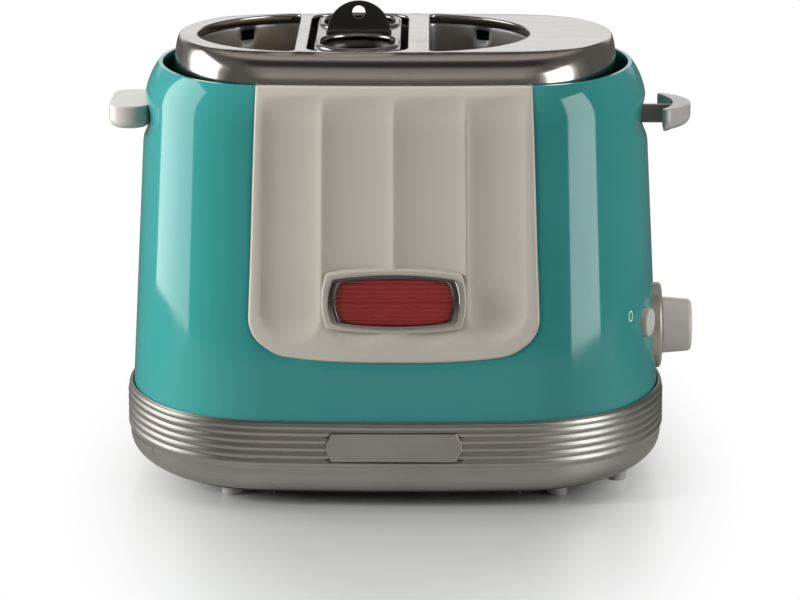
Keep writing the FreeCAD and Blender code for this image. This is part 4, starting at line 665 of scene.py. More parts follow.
@cache
def brushed_group() -> NodeTree:
    """Build the grain of brushed sheet: noise stretched along the brushing, with broad stains.

    Returns:
        The group.
    """
    amounts = {"Contrast": 0.15, "Roughness": 0.3, "Spread": 0.1}
    places = {"Vector": (0, 0, 0), "Stretch": (40, 3000, 3000)}
    group = Group("BrushedGrain", {**places, "Color": GREY, **amounts}, EFFECT)
    given = group.given
    ends = {0: given["Vector"], 1: given["Stretch"]}
    stretched = group.add("VectorMath", ends, operation="MULTIPLY").outputs[0]
    fine = group.noise(stretched, 1.0, 4.0, Roughness=0.65)
    band = group.noise(group.scaled(stretched, 0.13), 1.0, 2.0)
    both = group.maths("MULTIPLY_ADD", band, 0.5, group.maths("MULTIPLY", fine, 0.5))
    tone = group.ramp(both, 0.3, 0.7, -1, 1)
    stain = group.noise(given["Vector"], 22.0, 5.0, Distortion=0.8)
    shade = group.maths("MULTIPLY_ADD", tone, given["Contrast"], group.ramp(stain, 0.3, 0.75, 1.02, 0.93))
    colour = group.scaled(given["Color"], shade)
    rough = group.maths("MULTIPLY_ADD", tone, given["Spread"], given["Roughness"])
    rough = group.maths("ADD", rough, group.ramp(stain, 0.5, 0.8, 0, 0.05))
    return group.close({"Color": colour, "Roughness": rough, "Height": both})


@cache
def settled_group() -> NodeTree:
    """Build a mask of dust and crumbs: patchy noise where the surface faces up.

    Returns:
        The group.
    """
    group = Group("SettledDust", {"Vector": (0, 0, 0), "Amount": 0.1}, ("Mask",))
    where = group.given["Vector"]
    normal = group.add("NewGeometry").outputs["Normal"]
    rise = group.ramp(group.add("SeparateXYZ", {0: normal}).outputs[2], 0.2, 0.95)
    patch = group.ramp(group.noise(where, 70.0, 7.0, Roughness=0.75), 0.45, 0.7)
    grain = group.ramp(group.noise(where, 1500.0, 1.0), 0.4, 0.65)
    share = group.maths("MULTIPLY", group.maths("MULTIPLY", patch, grain), rise)
    return group.close({"Mask": group.maths("MULTIPLY", share, group.given["Amount"])})


@dataclass(frozen=True)
class Finish:
    """What every finish has: a name, a colour, a roughness, a little dust and a fine bump."""

    name: str
    colour: Colour
    roughness: float
    dust: float
    bump: float
    bump_depth: float

    def effect(self) -> tuple[NodeTree, dict[str, object]]:
        """Return the effect group and the values that go into it."""
        raise NotImplementedError

    def gloss(self) -> dict[str, float]:
        """Return the values that go straight onto the shader."""
        raise NotImplementedError

    def material(self) -> Material:
        """Return the finish as a material, built once."""
        return bpy.data.materials.get(self.name) or self.build()

    def build(self) -> Material:
        """Build the material: the effect group, dust over its colour, and a bump from its height.

        Returns:
            The material.
        """
        material = bpy.data.materials.new(self.name)
        material.use_nodes = True
        tree = Tree(material.node_tree)
        shader = tree.of_type("BSDF_PRINCIPLED")
        where = tree.add("TexCoord").outputs["Object"]
        group, values = self.effect()
        inputs = {"Vector": where, "Color": self.colour, "Roughness": self.roughness, **values}
        effect = tree.add("Group", inputs, node_tree=group).outputs
        colour, rough = effect["Color"], effect["Roughness"]
        if self.dust > 0:
            amount = {"Vector": where, "Amount": self.dust}
            mask = tree.add("Group", amount, node_tree=settled_group()).outputs["Mask"]
            colour = tree.mix(mask, colour, CRUMB)
            rough = tree.maths("MULTIPLY_ADD", mask, 0.5, rough)
        height = {"Strength": self.bump, "Distance": self.bump_depth, "Height": effect["Height"]}
        normal = tree.add("Bump", height).outputs[0]
        results = {"Base Color": colour, "Roughness": rough, "Normal": normal, **self.gloss()}
        for name, value in results.items():
            tree.feed(shader.inputs[name], value)
        return material


@dataclass(frozen=True)
class Moulded(Finish):
    """Moulded plastic, lacquer or rubber, with an optional clear coat."""

    cloud: float
    smudge: float
    ripple: float = 250.0
    coat: float = 0.0
    coat_roughness: float = 0.04

    def effect(self) -> tuple[NodeTree, dict[str, object]]:
        """Return the moulded skin and its values."""
        return moulded_group(), {"Cloud": self.cloud, "Smudge": self.smudge, "Ripple": self.ripple}

    def gloss(self) -> dict[str, float]:
        """Return the clear coat."""
        return {"Coat Weight": self.coat, "Coat Roughness": self.coat_roughness}


@dataclass(frozen=True)
class Brushed(Finish):
    """Sheet metal or wire with a grain that runs one way."""

    stretch: Triple
    contrast: float
    spread: float
    metallic: float = 1.0

    def effect(self) -> tuple[NodeTree, dict[str, object]]:
        """Return the brushed grain and its values."""
        return brushed_group(), {"Stretch": self.stretch, "Contrast": self.contrast, "Spread": self.spread}

    def gloss(self) -> dict[str, float]:
        """Return how metallic it is."""
        return {"Metallic": self.metallic}


# Each finish gives its colour, roughness, dust, bump and bump depth in metres. Then come cloud,
# smudge and ripple for a moulded one, and stretch, contrast and spread for a brushed one.
CRUMB: Colour = (0.62, 0.58, 0.52, 1)
TEAL = Moulded("teal_lacquer", linear(48, 130, 127), 0.07, 0.01, 0.04, 0.00005, 0.02, 0.03, 500)
CREAM = Moulded("warm_white_plastic", linear(182, 175, 165), 0.30, 0.02, 0.05, 0.00005, 0.015, 0.08, 600)
GREY_CAP = Moulded("light_grey_plastic", linear(180, 175, 169), 0.20, 0.0, 0.05, 0.00005, 0.015, 0.08, 600)
# The lever's grip takes the light grey plastic darkened, to stand for the shade on its front face: painted
# shade.
SHADED_GREY_CAP = replace(GREY_CAP, name="light_grey_plastic_painted_shade", colour=linear(160, 154, 150))
ARM = Moulded("grey_arm", linear(112, 111, 104), 0.35, 0.03, 0.1, 0.0001, 0.04, 0.1, 700)
LENS = Moulded("red_lens", linear(128, 32, 28), 0.30, 0.0, 0.05, 0.00005, 0.05, 0.05, 250, 0.15, 0.2)
GRIP = Moulded("black_grip", linear(31, 30, 29), 0.38, 0.03, 0.35, 0.0003, 0.15, 0.12, 900)
FEET = Moulded("grey_feet", linear(176, 176, 172), 0.35, 0.03, 0.2, 0.0001, 0.06, 0.1, 1200)
BUSH = Moulded("black_bush", linear(26, 26, 26), 0.45, 0.08, 0.3, 0.0003, 0.12, 0.1, 1000)
MICA = Moulded("layered_mica", linear(150, 128, 96), 0.42, 0.06, 0.3, 0.0002, 0.22, 0.25, 420)
BOARD = Moulded("green_board", linear(28, 92, 58), 0.3, 0.08, 0.2, 0.0001, 0.15, 0.1, 700, 0.4)
BLACK = Moulded("black_parts", linear(30, 30, 31), 0.42, 0.08, 0.25, 0.0002, 0.15, 0.12, 900)
TERMINAL = Moulded("terminal_plastic", linear(222, 220, 212), 0.4, 0.06, 0.2, 0.0002, 0.05, 0.1, 600)
PRINT = Moulded("printed_ink", linear(226, 226, 222), 0.35, 0.0, 0.1, 0.0001, 0.04, 0.08, 900)
DARK_PRINT = Moulded("dark_ink", linear(70, 68, 66), 0.4, 0.0, 0.1, 0.0001, 0.05, 0.08, 900)
EVEN: Triple = (900, 900, 900)
CROSS: Triple = (30, 2400, 300)
RING = Brushed("satin_ring", linear(172, 166, 156), 0.34, 0.02, 0.05, 0.0001, EVEN, 0.05, 0.04, 0.6)
BADGE_CHROME = Brushed(
    "dark_chrome", linear(146, 138, 132), 0.16, 0.0, 0.04, 0.0001, (300, 300, 300), 0.04, 0.03
)
SKIRT = Brushed("satin_silver", linear(168, 166, 160), 0.40, 0.03, 0.10, 0.0001, (30, 30, 2600), 0.05, 0.05)
COVER = Brushed("polished_cover", linear(203, 199, 194), 0.18, 0.02, 0.04, 0.0001, CROSS, 0.04, 0.04)
# The wells' colour is their sheet's brownish grey, darkened far below bare sheet to stand for the shade deep
# inside them: painted shade.
SHADED_WELL = Brushed("well_sheet", linear(68, 60, 56), 0.30, 0.06, 0.15, 0.0001, (900, 900, 25), 0.16, 0.08)
BASKET_STEEL = Brushed("basket_steel", linear(176, 172, 168), 0.20, 0.02, 0.08, 0.0001, CROSS, 0.06, 0.05)
# The cups are the basket's steel made much darker than the plate, to stand for the shade down in the well:
# painted shade.
SHADED_CUP_STEEL = Brushed("cup_steel_painted_shade", linear(96, 91, 87), 0.38, 0.02, 0.15, 0.0001, (900, 900, 30), 0.12, 0.08)
BASE_COAT = Brushed(
    "dark_base_coat", linear(62, 61, 60), 0.5, 0.25, 0.3, 0.0002, (500, 500, 500), 0.12, 0.08, 0.2
)
CHASSIS = Brushed(
    "galvanised_sheet", linear(165, 167, 168), 0.38, 0.12, 0.15, 0.0001, (90, 140, 110), 0.14, 0.1
)
TRAY = Brushed("tray_sheet", linear(178, 178, 177), 0.28, 0.30, 0.12, 0.0001, (25, 2400, 900), 0.09, 0.06)
WIRE = Brushed("bright_wire", linear(184, 183, 180), 0.22, 0.03, 0.1, 0.0001, EVEN, 0.08, 0.06)
RIBBON = Brushed("heater_ribbon", linear(112, 98, 88), 0.36, 0.0, 0.12, 0.0001, (60, 2000, 200), 0.3, 0.1)
STEEL = Brushed("ground_steel", linear(196, 196, 196), 0.12, 0.04, 0.05, 0.0001, (900, 900, 1800), 0.05, 0.04)
BLACKENED = Brushed("blackened_screws", linear(58, 57, 56), 0.4, 0.05, 0.1, 0.0001, EVEN, 0.1, 0.08)
SPRING = Brushed("spring_steel", linear(140, 140, 140), 0.3, 0.04, 0.2, 0.0002, (150, 150, 2200), 0.25, 0.1)
IRON = Brushed("bare_iron", linear(92, 90, 88), 0.45, 0.08, 0.3, 0.0002, (400, 400, 700), 0.25, 0.12)
COPPER = Brushed(
    "copper_winding", linear(196, 116, 72), 0.25, 0.02, 0.3, 0.0003, (100, 100, 4200), 0.25, 0.06
)


@dataclass(frozen=True)
class Wall:
    """A wall given to a sheet and the bevel of its edges, in millimetres."""

    thickness: float = 0.0
    bevel: float = 0.0
    segments: int = 2
    angle: float = 50.0


def linked(name: str, data: bpy.types.ID) -> Piece:
    """Put a mesh, light or camera into the scene as an object.

    Args:
        name: The object's name.
        data: What it shows.

    Returns:
        The object.
    """
    thing = bpy.data.objects.new(name, data)
    bpy.context.scene.collection.objects.link(thing)
    return thing


def make_piece(
    name: str,
    surface: Surface,
    finish: Finish,
    slot: str,
    replaces: Optional[str] = None,
    body: Body = Body.BASE,
    wall: Wall = Wall(),
    sharp: float = 45.0,
) -> Piece:
    """Turn a surface into a piece that rides on a body.

    Args:
        name: The piece's name.
        surface: Its points and faces, in millimetres about the body's middle.
        finish: What it is made of.
        slot: The record's material slot; not used.
        replaces: The CAD node that it stands for.
        body: The body that it moves with.
        wall: Thickness and bevel, where the surface is an open sheet.
        sharp: Angle in degrees past which an edge is shaded sharp.

    Returns:
        The new object.
    """
    points = (np.concatenate(surface.points) + (AXIS_X, 0, 0)) * MM
    used = np.unique(np.concatenate([np.asarray(face) for face in surface.faces]))
    index = np.zeros(len(points), int)
    index[used] = np.arange(len(used))
    mesh = bpy.data.meshes.new(name)
    mesh.from_pydata(points[used].tolist(), [], [index[face].tolist() for face in surface.faces])
    shape = bmesh.new()
    shape.from_mesh(mesh)
    bmesh.ops.remove_doubles(shape, verts=shape.verts, dist=WELD)
    shape.to_mesh(mesh)
    shape.free()
    mesh.shade_smooth()
    mesh.set_sharp_from_angle(angle=math.radians(sharp))
    piece = linked(name, mesh)
    mesh.materials.append(finish.material())
    if wall.thickness > 0:
        solid = piece.modifiers.new("Wall", "SOLIDIFY")
        solid.thickness, solid.offset = wall.thickness * MM, -1
    if wall.bevel > 0:
        bevel = piece.modifiers.new("Edges", "BEVEL")
        bevel.width, bevel.segments = wall.bevel * MM, wall.segments
        bevel.limit_method, bevel.angle_limit = "ANGLE", math.radians(wall.angle)
        bevel.harden_normals = True
    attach(piece, body.value)
    if replaces:
        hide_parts(replaces)
    LOG.info("%s: %d faces on %s", name, len(mesh.polygons), body.value)
    return piece


# The shell leans inwards from the belt and rolls over on one arc above the shoulder. Lengths along
# its right end are measured on the radius END_UNIT.
LEAN = math.radians(3.0)
BELT, SHOULDER, RIM, ROLL = 45.0, 186.0, 205.5, 35.0
HALF_WIDTH, HALF_DEPTH = 131.8, 93.5
SIDE_RADIUS, FRONT_RADIUS = 112.0, 800.0
SIDE_CENTRE, FRONT_LIFT = HALF_WIDTH - SIDE_RADIUS, FRONT_RADIUS - HALF_DEPTH
END_UNIT = 110.7
KNOB_HEIGHT, BUTTON_HEIGHT = 70.2, 80.5
BUN_LEFT, BUN_RIGHT = -48.5, 17.0
MIDDLE_X, MIDDLE_HALF = -18.1, 24.4
BODY_ARCS = tangent_arcs(HALF_WIDTH, HALF_DEPTH, FRONT_RADIUS, SIDE_RADIUS, 64.0)
COVER_ARCS = tangent_arcs(109.2, 74.6, 760.0, 95.0, 50.0)
LEFT_ARCS, RIGHT_ARCS = dee(BUN_LEFT, -1), dee(BUN_RIGHT, 1)
MIDDLE_ARCS = soft_rectangle(MIDDLE_HALF, 58.0, 13.0, MIDDLE_X)


def wall_offset(height: Array) -> Array:
    """Return how far the shell's wall stands from the belt line at a height.

    Up to the shoulder it is minus the height over the belt times tan 3 degrees; above, it is the
    shoulder's 35 mm arc, whose centre lies square to the wall's end.

    Args:
        height: Heights over the table.

    Returns:
        The offsets, positive outwards.
    """
    height = np.asarray(height, float)
    lean = -(height - BELT) * math.tan(LEAN)
    centre_z = SHOULDER - ROLL * math.sin(LEAN)
    centre = -(SHOULDER - BELT) * math.tan(LEAN) - ROLL * math.cos(LEAN)
    arc = centre + np.sqrt(np.maximum(ROLL * ROLL - (height - centre_z) ** 2, 0))
    return np.where(height <= SHOULDER, lean, arc)


def front_wall(x: Array, offset: Array) -> Array:
    """Return the front wall's y at a width, on the line that an offset from the belt line gives.

    On the front arc the sine of the wall's angle is the width over the arc's radius, and past it the
    distance from the corner's middle over the corner's radius. y is the arc's middle less the radius
    times the cosine.

    Args:
        x: Distances from the middle.
        offset: Offsets of the line from the belt line.

    Returns:
        The wall's y.
    """
    corner_x, corner_y, corner = BODY_ARCS[-1][:3]
    reach, front = np.abs(x), FRONT_RADIUS + offset
    on_front = reach <= front * corner_x / (FRONT_RADIUS - corner)
    sine = np.where(on_front, reach / front, np.clip((reach - corner_x) / (corner + offset), -1, 1))
    cosine = np.sqrt(1 - sine * sine)
    return np.where(on_front, FRONT_LIFT - front * cosine, corner_y - (corner + offset) * cosine)


def smooth_min(one: Array, two: Array, blend: float) -> Array:
    """Return the smaller of two values, rounded over where they come within a blend."""
    share = np.clip(0.5 + 0.5 * (two - one) / blend, 0, 1)
    return two * (1 - share) + one * share - blend * share * (1 - share)


def stops(marks: Sequence[float], step: float) -> Array:
    """Return rising values no further apart than a step that meet every mark."""
    spans = [(a, b, max(1, math.ceil((b - a) / step))) for a, b in zip(marks, marks[1:])]
    return np.concatenate([np.linspace(a, b, count + 1)[:-1] for a, b, count in spans] + [marks[-1:]])


def cell_middles(grid: Array) -> Array:
    """Return the middle of each cell of a grid whose last column runs on to the first."""
    return (grid[:-1] + np.roll(grid, -1, 1)[1:]) / 2


def between(values: Array, limits: tuple[float, float]) -> Array:
    """Tell which values lie between two limits."""
    return (values > limits[0]) & (values < limits[1])


@dataclass(frozen=True)
class RoundHole:
    """A round hole in the shell's right end, by arc length from the middle and height."""

    along: float
    height: float
    radius: float
    inner: float
    outer: float

    def holds(self, along: Array, height: Array) -> Array:
        """Tell which places lie in the inner square, where the cells are left out."""
        return np.maximum(np.abs(along - self.along), np.abs(height - self.height)) < self.inner

    def warp(self, along: Array, height: Array) -> tuple[Array, Array]:
        """Bend the square grid lines near the hole onto circles.

        A point whose square distance is s goes to the circle of radius (radius + s - inner) by a
        share that falls from 1 at the inner square to 0 at the outer one.

        Args:
            along: Arc lengths from the middle.
            height: Heights over the table.

        Returns:
            The moved arc lengths and heights.
        """
        a, b = along - self.along, height - self.height
        square = np.maximum(np.abs(a), np.abs(b))
        span = np.maximum(np.hypot(a, b), 1e-9)
        share = np.clip((self.outer - square) / (self.outer - self.inner), 0, 1)
        grow = (1 - share) + share * np.maximum(self.radius + square - self.inner, 0.1) / span
        return self.along + a * grow, self.height + b * grow


@dataclass
class Shell:
    """The lacquered oval shell with its scoops, lever slot and the holes of the controls."""

    low: float = 38.0
    marks: tuple[float, ...] = (51.2, 74.3, 86.7, 89.2)
    fine_from: float = 168.0
    row: float = 2.6
    fine_row: float = 1.3
    step: float = 2.3
    roll_rows: int = 14
    lip: tuple[float, ...] = (0.5, 1.2, 1.9)
    wall: Wall = Wall(2.2, 0.4, 3)
    scoop_height: float = 179.5
    scoop_depth: float = 2.6
    scoop_half_height: float = 10.5
    scoop_half_length: float = 36.0
    scoop_blend: float = 0.8
    scoop_from: float = 60.0
    slot_half: float = 2.7
    slot: tuple[float, float] = (112.8, 184.2)
    end_angle: float = 34.0
    holes: tuple[RoundHole, ...] = (
        RoundHole(0.0, KNOB_HEIGHT, 21.8, 19.0, 27.0),
        RoundHole(-37.87, BUTTON_HEIGHT, 7.25, 6.2, 9.0),
    )
    recess: float = 2.4
    recess_in: float = 0.6

    def scooped(self, plan: Array, height: Array, side: int) -> Array:
        """Press a finger scoop into one end.

        The scoop is the inner side of a ring whose tube has the radius that gives the depth at
        the half height: points further from the ring's centre than its inner side move back to it.

        Args:
            plan: The wall's points seen from above.
            height: Their heights.
            side: 1 for the right end, or -1.

        Returns:
            The moved points.
        """
        depth, reach = self.scoop_depth, self.scoop_half_length
        tube = (self.scoop_half_height**2 + depth**2) / (2 * depth)
        edge = HALF_WIDTH + float(wall_offset(self.scoop_height))
        crown = SIDE_RADIUS - HALF_WIDTH + edge
        sag = crown - math.sqrt(crown * crown - reach * reach) - depth
        bend = (reach * reach + sag * sag) / (2 * sag)
        centre = np.array((side * (edge - depth + tube - bend), 0.0))
        out = plan - centre
        span = np.hypot(out[..., 0], out[..., 1])
        drop = np.minimum(np.abs(height - self.scoop_height), tube)
        limit = bend - np.sqrt(tube * tube - drop * drop)
        near = (side * plan[..., 0] > self.scoop_from) & (drop < tube)
        moved = np.where(near, smooth_min(span, limit, self.scoop_blend), span)
        return centre + out * (moved / span)[..., None]

    def rows(self) -> Array:
        """Return the heights of the rows: up the wall, over the shoulder and along the rim's lip.

        Returns:
            Rising heights, with the rim's own once for each row of the lip.
        """
        centre = SHOULDER - ROLL * math.sin(LEAN)
        turn = math.asin((RIM - centre) / ROLL)
        share = np.arange(1, self.roll_rows + 1) / self.roll_rows
        return np.concatenate((
            stops((self.low, *self.marks, self.slot[0], self.fine_from), self.row),
            stops((self.fine_from, self.slot[1], SHOULDER), self.fine_row)[1:],
            centre + ROLL * np.sin(LEAN + (turn - LEAN) * share),
            np.full(len(self.lip), RIM),
        ))

    def build(self) -> Pieces:
        """Build the shell as one sheet, with cells left out for the slot and the holes.

        Returns:
            The shell.
        """
        rows = self.rows()
        edges = [hole.along + s * hole.inner for hole in self.holes for s in (-1, 1)]
        keep = [math.degrees(edge / END_UNIT) for edge in (*edges, -self.slot_half, self.slot_half)]
        line = Outline.of_arcs(BODY_ARCS, self.step, keep)
        angle = np.arctan2(line.normal[:, 1], line.normal[:, 0])
        along = np.broadcast_to(angle * END_UNIT, (len(rows), len(angle)))
        height = np.broadcast_to(rows[:, None], along.shape)
        mid_a, mid_z = cell_middles(along), cell_middles(height)
        end = np.abs(angle) < math.radians(self.end_angle)
        cut = (np.abs(mid_a) < self.slot_half) & between(mid_z, self.slot)
        for hole in self.holes:
            cut |= hole.holds(mid_a, mid_z)
            along, height = hole.warp(along, height)
        turned = along / END_UNIT
        on_end = end[None, :, None]
        direction = np.where(on_end, np.stack((np.cos(turned), np.sin(turned)), -1), line.normal[None])
        base = np.where(on_end, np.array((SIDE_CENTRE, 0)) + SIDE_RADIUS * direction, line.base[None])
        plan = base + wall_offset(height)[..., None] * direction
        last = slice(-len(self.lip), None)
        plan[last] -= np.array(self.lip)[:, None, None] * direction[last]
        for side in (1, -1):
            plan = self.scooped(plan, height, side)
        panel = Panel()
        depth = panel.margin(plan[..., 0], height - panel.bow(plan[..., 0], height))
        recess = self.recess * np.clip((depth - self.recess_in) / self.recess, 0, 1)
        plan = plan - (recess * (plan[..., 1] < 0))[..., None] * direction
        surface = Surface().wall(np.concatenate((plan, height[..., None]), -1), kept=~(cut & end))
        return [make_piece("shell", surface, TEAL, "teal", "body_shell", wall=self.wall, sharp=60)]


@dataclass
class Panel:
    """The pale panel on the front with its four hollow flutes, and the raised seat of the badge."""

    foot: float = 73.0
    half_top: float = 66.0
    half_foot: float = 70.8
    top: float = RIM
    over: float = 4.0
    corner: float = 19.0
    proud: float = 0.8
    sunk: float = 0.7
    blend: float = 1.2
    pitch: float = 34.0
    flutes_end: float = 62.6
    fan: float = 0.035
    flute_depth: float = 2.9
    flute_foot: float = 82.0
    fade_from: float = 190.0
    fade_run: float = 11.0
    rise: float = 3.0
    rise_reach: float = 56.0
    rise_run: float = 50.0
    edge: tuple[float, ...] = (0, 0.06, 0.2, 0.45, 0.8, 1.3, 2.2)
    last_rows: tuple[float, ...] = (204.6, 204.95, 205.25, 205.42, 205.5, 205.5, 205.5)
    tuck: tuple[float, ...] = (0.03, 0.15, 0.38, 0.75, 2.0, 4.6)
    column: float = 0.014
    row: float = 3.0
    row_mark: float = 120.0
    seat_grow: float = 2.6

    def side_line(self, height: Array) -> Array:
        """Return the half width of the straight-sided outline at a height."""
        share = (height - self.foot) / (self.top + self.over - self.foot)
        return self.half_foot - share * (self.half_foot - self.half_top)

    def margin(self, x: Array, height: Array) -> Array:
        """Return how far a point lies inside the outline, with its round lower corners.

        It is the smaller of the distances to the side and the foot, and in a corner the corner's
        radius less the distance from its middle.

        Args:
            x: Distance from the middle.
            height: Its height.

        Returns:
            The distances, negative outside.
        """
        side, low = self.side_line(height) - np.abs(x), height - self.foot
        r = self.corner
        corner = r - np.hypot(r - side, r - low)
        return np.where((side < r) & (low < r), corner, np.minimum(side, low))

    def bow(self, x: Array, height: Array) -> Array:
        """Return how far the foot's line rises towards its corners, fading out up the panel."""
        fade = np.clip(1 - (height - self.foot) / self.rise_run, 0, 1)
        return self.rise * np.minimum(np.abs(x) / self.rise_reach, 1.1) ** 3 * fade

    def fanned(self, height: Array) -> Array:
        """Return how much wider than at the top the flutes stand at a height."""
        return 1 + self.fan * np.clip((self.top - height) / (self.top - self.foot), 0, 1)

    def hollow(self, x: Array, height: Array) -> Array:
        """Return the flutes' depth.

        With t the distance from a flute's middle as a share of its half width, the depth is
        depth (0.8 (1 - t^2) + 0.2 (1 - t^6)); below the foot t is measured from the middle of
        the flute's round end, and above the shoulder the depth fades to nothing.

        Args:
            x: Distance from the middle.
            height: Its height.

        Returns:
            The depths.
        """
        reach = np.abs(x) / self.fanned(height)
        inner, outer = self.pitch / 2, (self.flutes_end - self.pitch) / 2
        middle = np.where(reach < self.pitch, inner, self.pitch + outer)
        half = np.where(reach < self.pitch, inner, outer)
        below = np.minimum(height - self.flute_foot - half, 0)
        t = np.minimum(np.hypot(reach - middle, below) / half, 1)
        fade = 1 - np.clip((height - self.fade_from) / self.fade_run, 0, 1) ** 2
        return self.flute_depth * (0.8 * (1 - t**2) + 0.2 * (1 - t**6)) * fade

    def rows(self) -> Array:
        """Return the heights of the rows, which stand close at the foot, the corners and the rim.

        Returns:
            Rising heights.
        """
        turn = np.linspace(0, math.pi / 2, 12)[3:]
        low = np.unique(np.concatenate((self.edge, self.corner * (1 - np.cos(turn)))))
        middle = stops((self.foot + self.corner + 1, self.row_mark, SHOULDER), self.row)
        roll = np.linspace(SHOULDER, self.last_rows[0], 16)[1:]
        return np.concatenate((self.foot + low, middle, roll, self.last_rows[1:]))

    def build(self) -> Pieces:
        """Build the panel and the badge's seat.

        Returns:
            The panel and the seat.
        """
        height = self.rows()
        depth = np.minimum(height - self.foot, self.corner)
        cut = self.corner - np.sqrt(self.corner**2 - (self.corner - depth) ** 2)
        reach = self.side_line(height) - cut
        wide = np.minimum(self.fanned(height) * self.flutes_end, reach - self.edge[-1] - 0.4)
        ridge = self.pitch / self.flutes_end
        inner = [wide * share for share in stops((-1, -ridge, 0, ridge, 1), self.column)]
        sides = [reach - edge for edge in self.edge]
        x = np.stack([*(-side for side in sides), *inner, *sides[::-1]], 1)
        z = np.broadcast_to(height[:, None], x.shape)
        near = np.clip(self.margin(x, z) / self.blend, 0, 1)
        outset = -self.sunk + (self.proud + self.sunk) * np.sqrt(1 - (1 - near) ** 2)
        outset = outset - self.hollow(x, z) * near
        outset[-len(self.tuck):] -= np.array(self.tuck)[:, None]
        z = z + self.bow(x, z)
        grid = np.stack((x, front_wall(x, wall_offset(z) + outset), z), -1)
        panel = Surface().wall(grid, ring=False)
        badge = Badge()
        outline = Outline.of_angles(badge.barrel(-self.seat_grow, -self.seat_grow), np.arange(0, 360, 2.0))
        rise = outline.swept(rounded([(0.45, -3.5, 0), (0, 0, 0.8), (-2.2, 0, 0)]))
        seat = Surface().wall(rise).lid(rise[-1]).moved(badge.placing())
        return [
            make_piece("panel", panel, CREAM, "cream", "front_panel", sharp=70),
            make_piece("badge_seat", seat, CREAM, "cream", sharp=38),
        ]


@dataclass
class Badge:
    """The badge: a dark chrome frame round a red lens with cross ribs, left bare."""

    half_width: float = 32.0
    half_height: float = 13.1
    drop: float = 2.3
    corner: float = 2.5
    inner_corner: float = 1.8
    height: float = 103.4
    stand: float = 1.3
    thickness: float = 2.6
    crown: float = 0.28
    end: float = 4.0
    rim: float = 1.5
    lap: float = 0.2
    rib: float = 2.3
    rib_height: float = 0.55
    lens_height: float = 1.15
    lens_fall: float = 0.15

    def barrel(self, inset_x: float = 0, inset_y: float = 0, corner: Optional[float] = None) -> list[Arc]:
        """Return the barrel outline: four shallow arcs that sag by the drop, corners rounded.

        Args:
            inset_x: How far the ends stand in.
            inset_y: How far the top and the bottom stand in.
            corner: Radius of the corners, if it isn't the frame's own.

        Returns:
            Its arcs.
        """
        wide, tall, drop = self.half_width - inset_x, self.half_height - inset_y, self.drop
        radii = [((side - drop) ** 2 + drop**2) / (2 * drop) for side in (wide, tall)]
        return tangent_arcs(wide, tall, *radii, corner or self.corner)

    def placing(self) -> Placing:
        """Return the leaning plane of the badge's seat.

        Returns:
            The placing, with w square to the wall.
        """
        s, c = math.sin(LEAN), math.cos(LEAN)
        front = float(front_wall(np.array(0.0), wall_offset(self.height) + self.stand))
        return Placing((0, front, self.height), (1, 0, 0), (0, s, c), (0, -c, s))

    def build(self) -> Pieces:
        """Build the frame as rows that lead from its outer to its inner line, and the lens.

        Returns:
            The frame and the lens.
        """
        angles = np.arange(0, 360, 1.5)
        outer = Outline.of_angles(self.barrel(), angles)
        inner = Outline.of_angles(self.barrel(self.end, self.rim, self.inner_corner), angles)
        t = self.thickness
        rise = rounded([(0, 0, 0), (0, t, 1.1), (-1.6, t, 0)], steps=7)
        fall = rounded([(0.5, t, 0), (0.25, t, 0.2), (-0.15, t - 0.9, 0.3), (-0.15, 0.6, 0)], steps=3)
        share = np.array((0.25, 0.5, 0.75))[:, None, None]
        one, two = outer.swept(rise), inner.swept(fall)
        across = one[-1] * (1 - share) + two[0] * share
        across[:, :, 2] = t + self.crown * np.sin(np.pi * share[:, :, 0])
        ring = Surface().wall(np.concatenate((one, across, two))).moved(self.placing())
        u, v = np.meshgrid(np.linspace(-1, 1, 60), np.linspace(-1, 1, 121))
        x = u * (self.half_width - self.end + self.lap - self.drop * v * v)
        y = v * (self.half_height - self.rim + self.lap - self.drop * u * u)
        ribs = self.rib_height * np.sqrt(np.maximum(1 - (2 * ((y / self.rib) % 1) - 1) ** 2, 0))
        height = self.lens_height + ribs - self.lens_fall * (u * u + v * v)
        lens = Surface().wall(np.stack((x, y, height), -1), ring=False).moved(self.placing())
        return [
            make_piece("badge_ring", ring, BADGE_CHROME, "badge_chrome", "badge_frame", sharp=50),
            make_piece("badge_window", lens, LENS, "lens", "badge_lens", sharp=75),
        ]


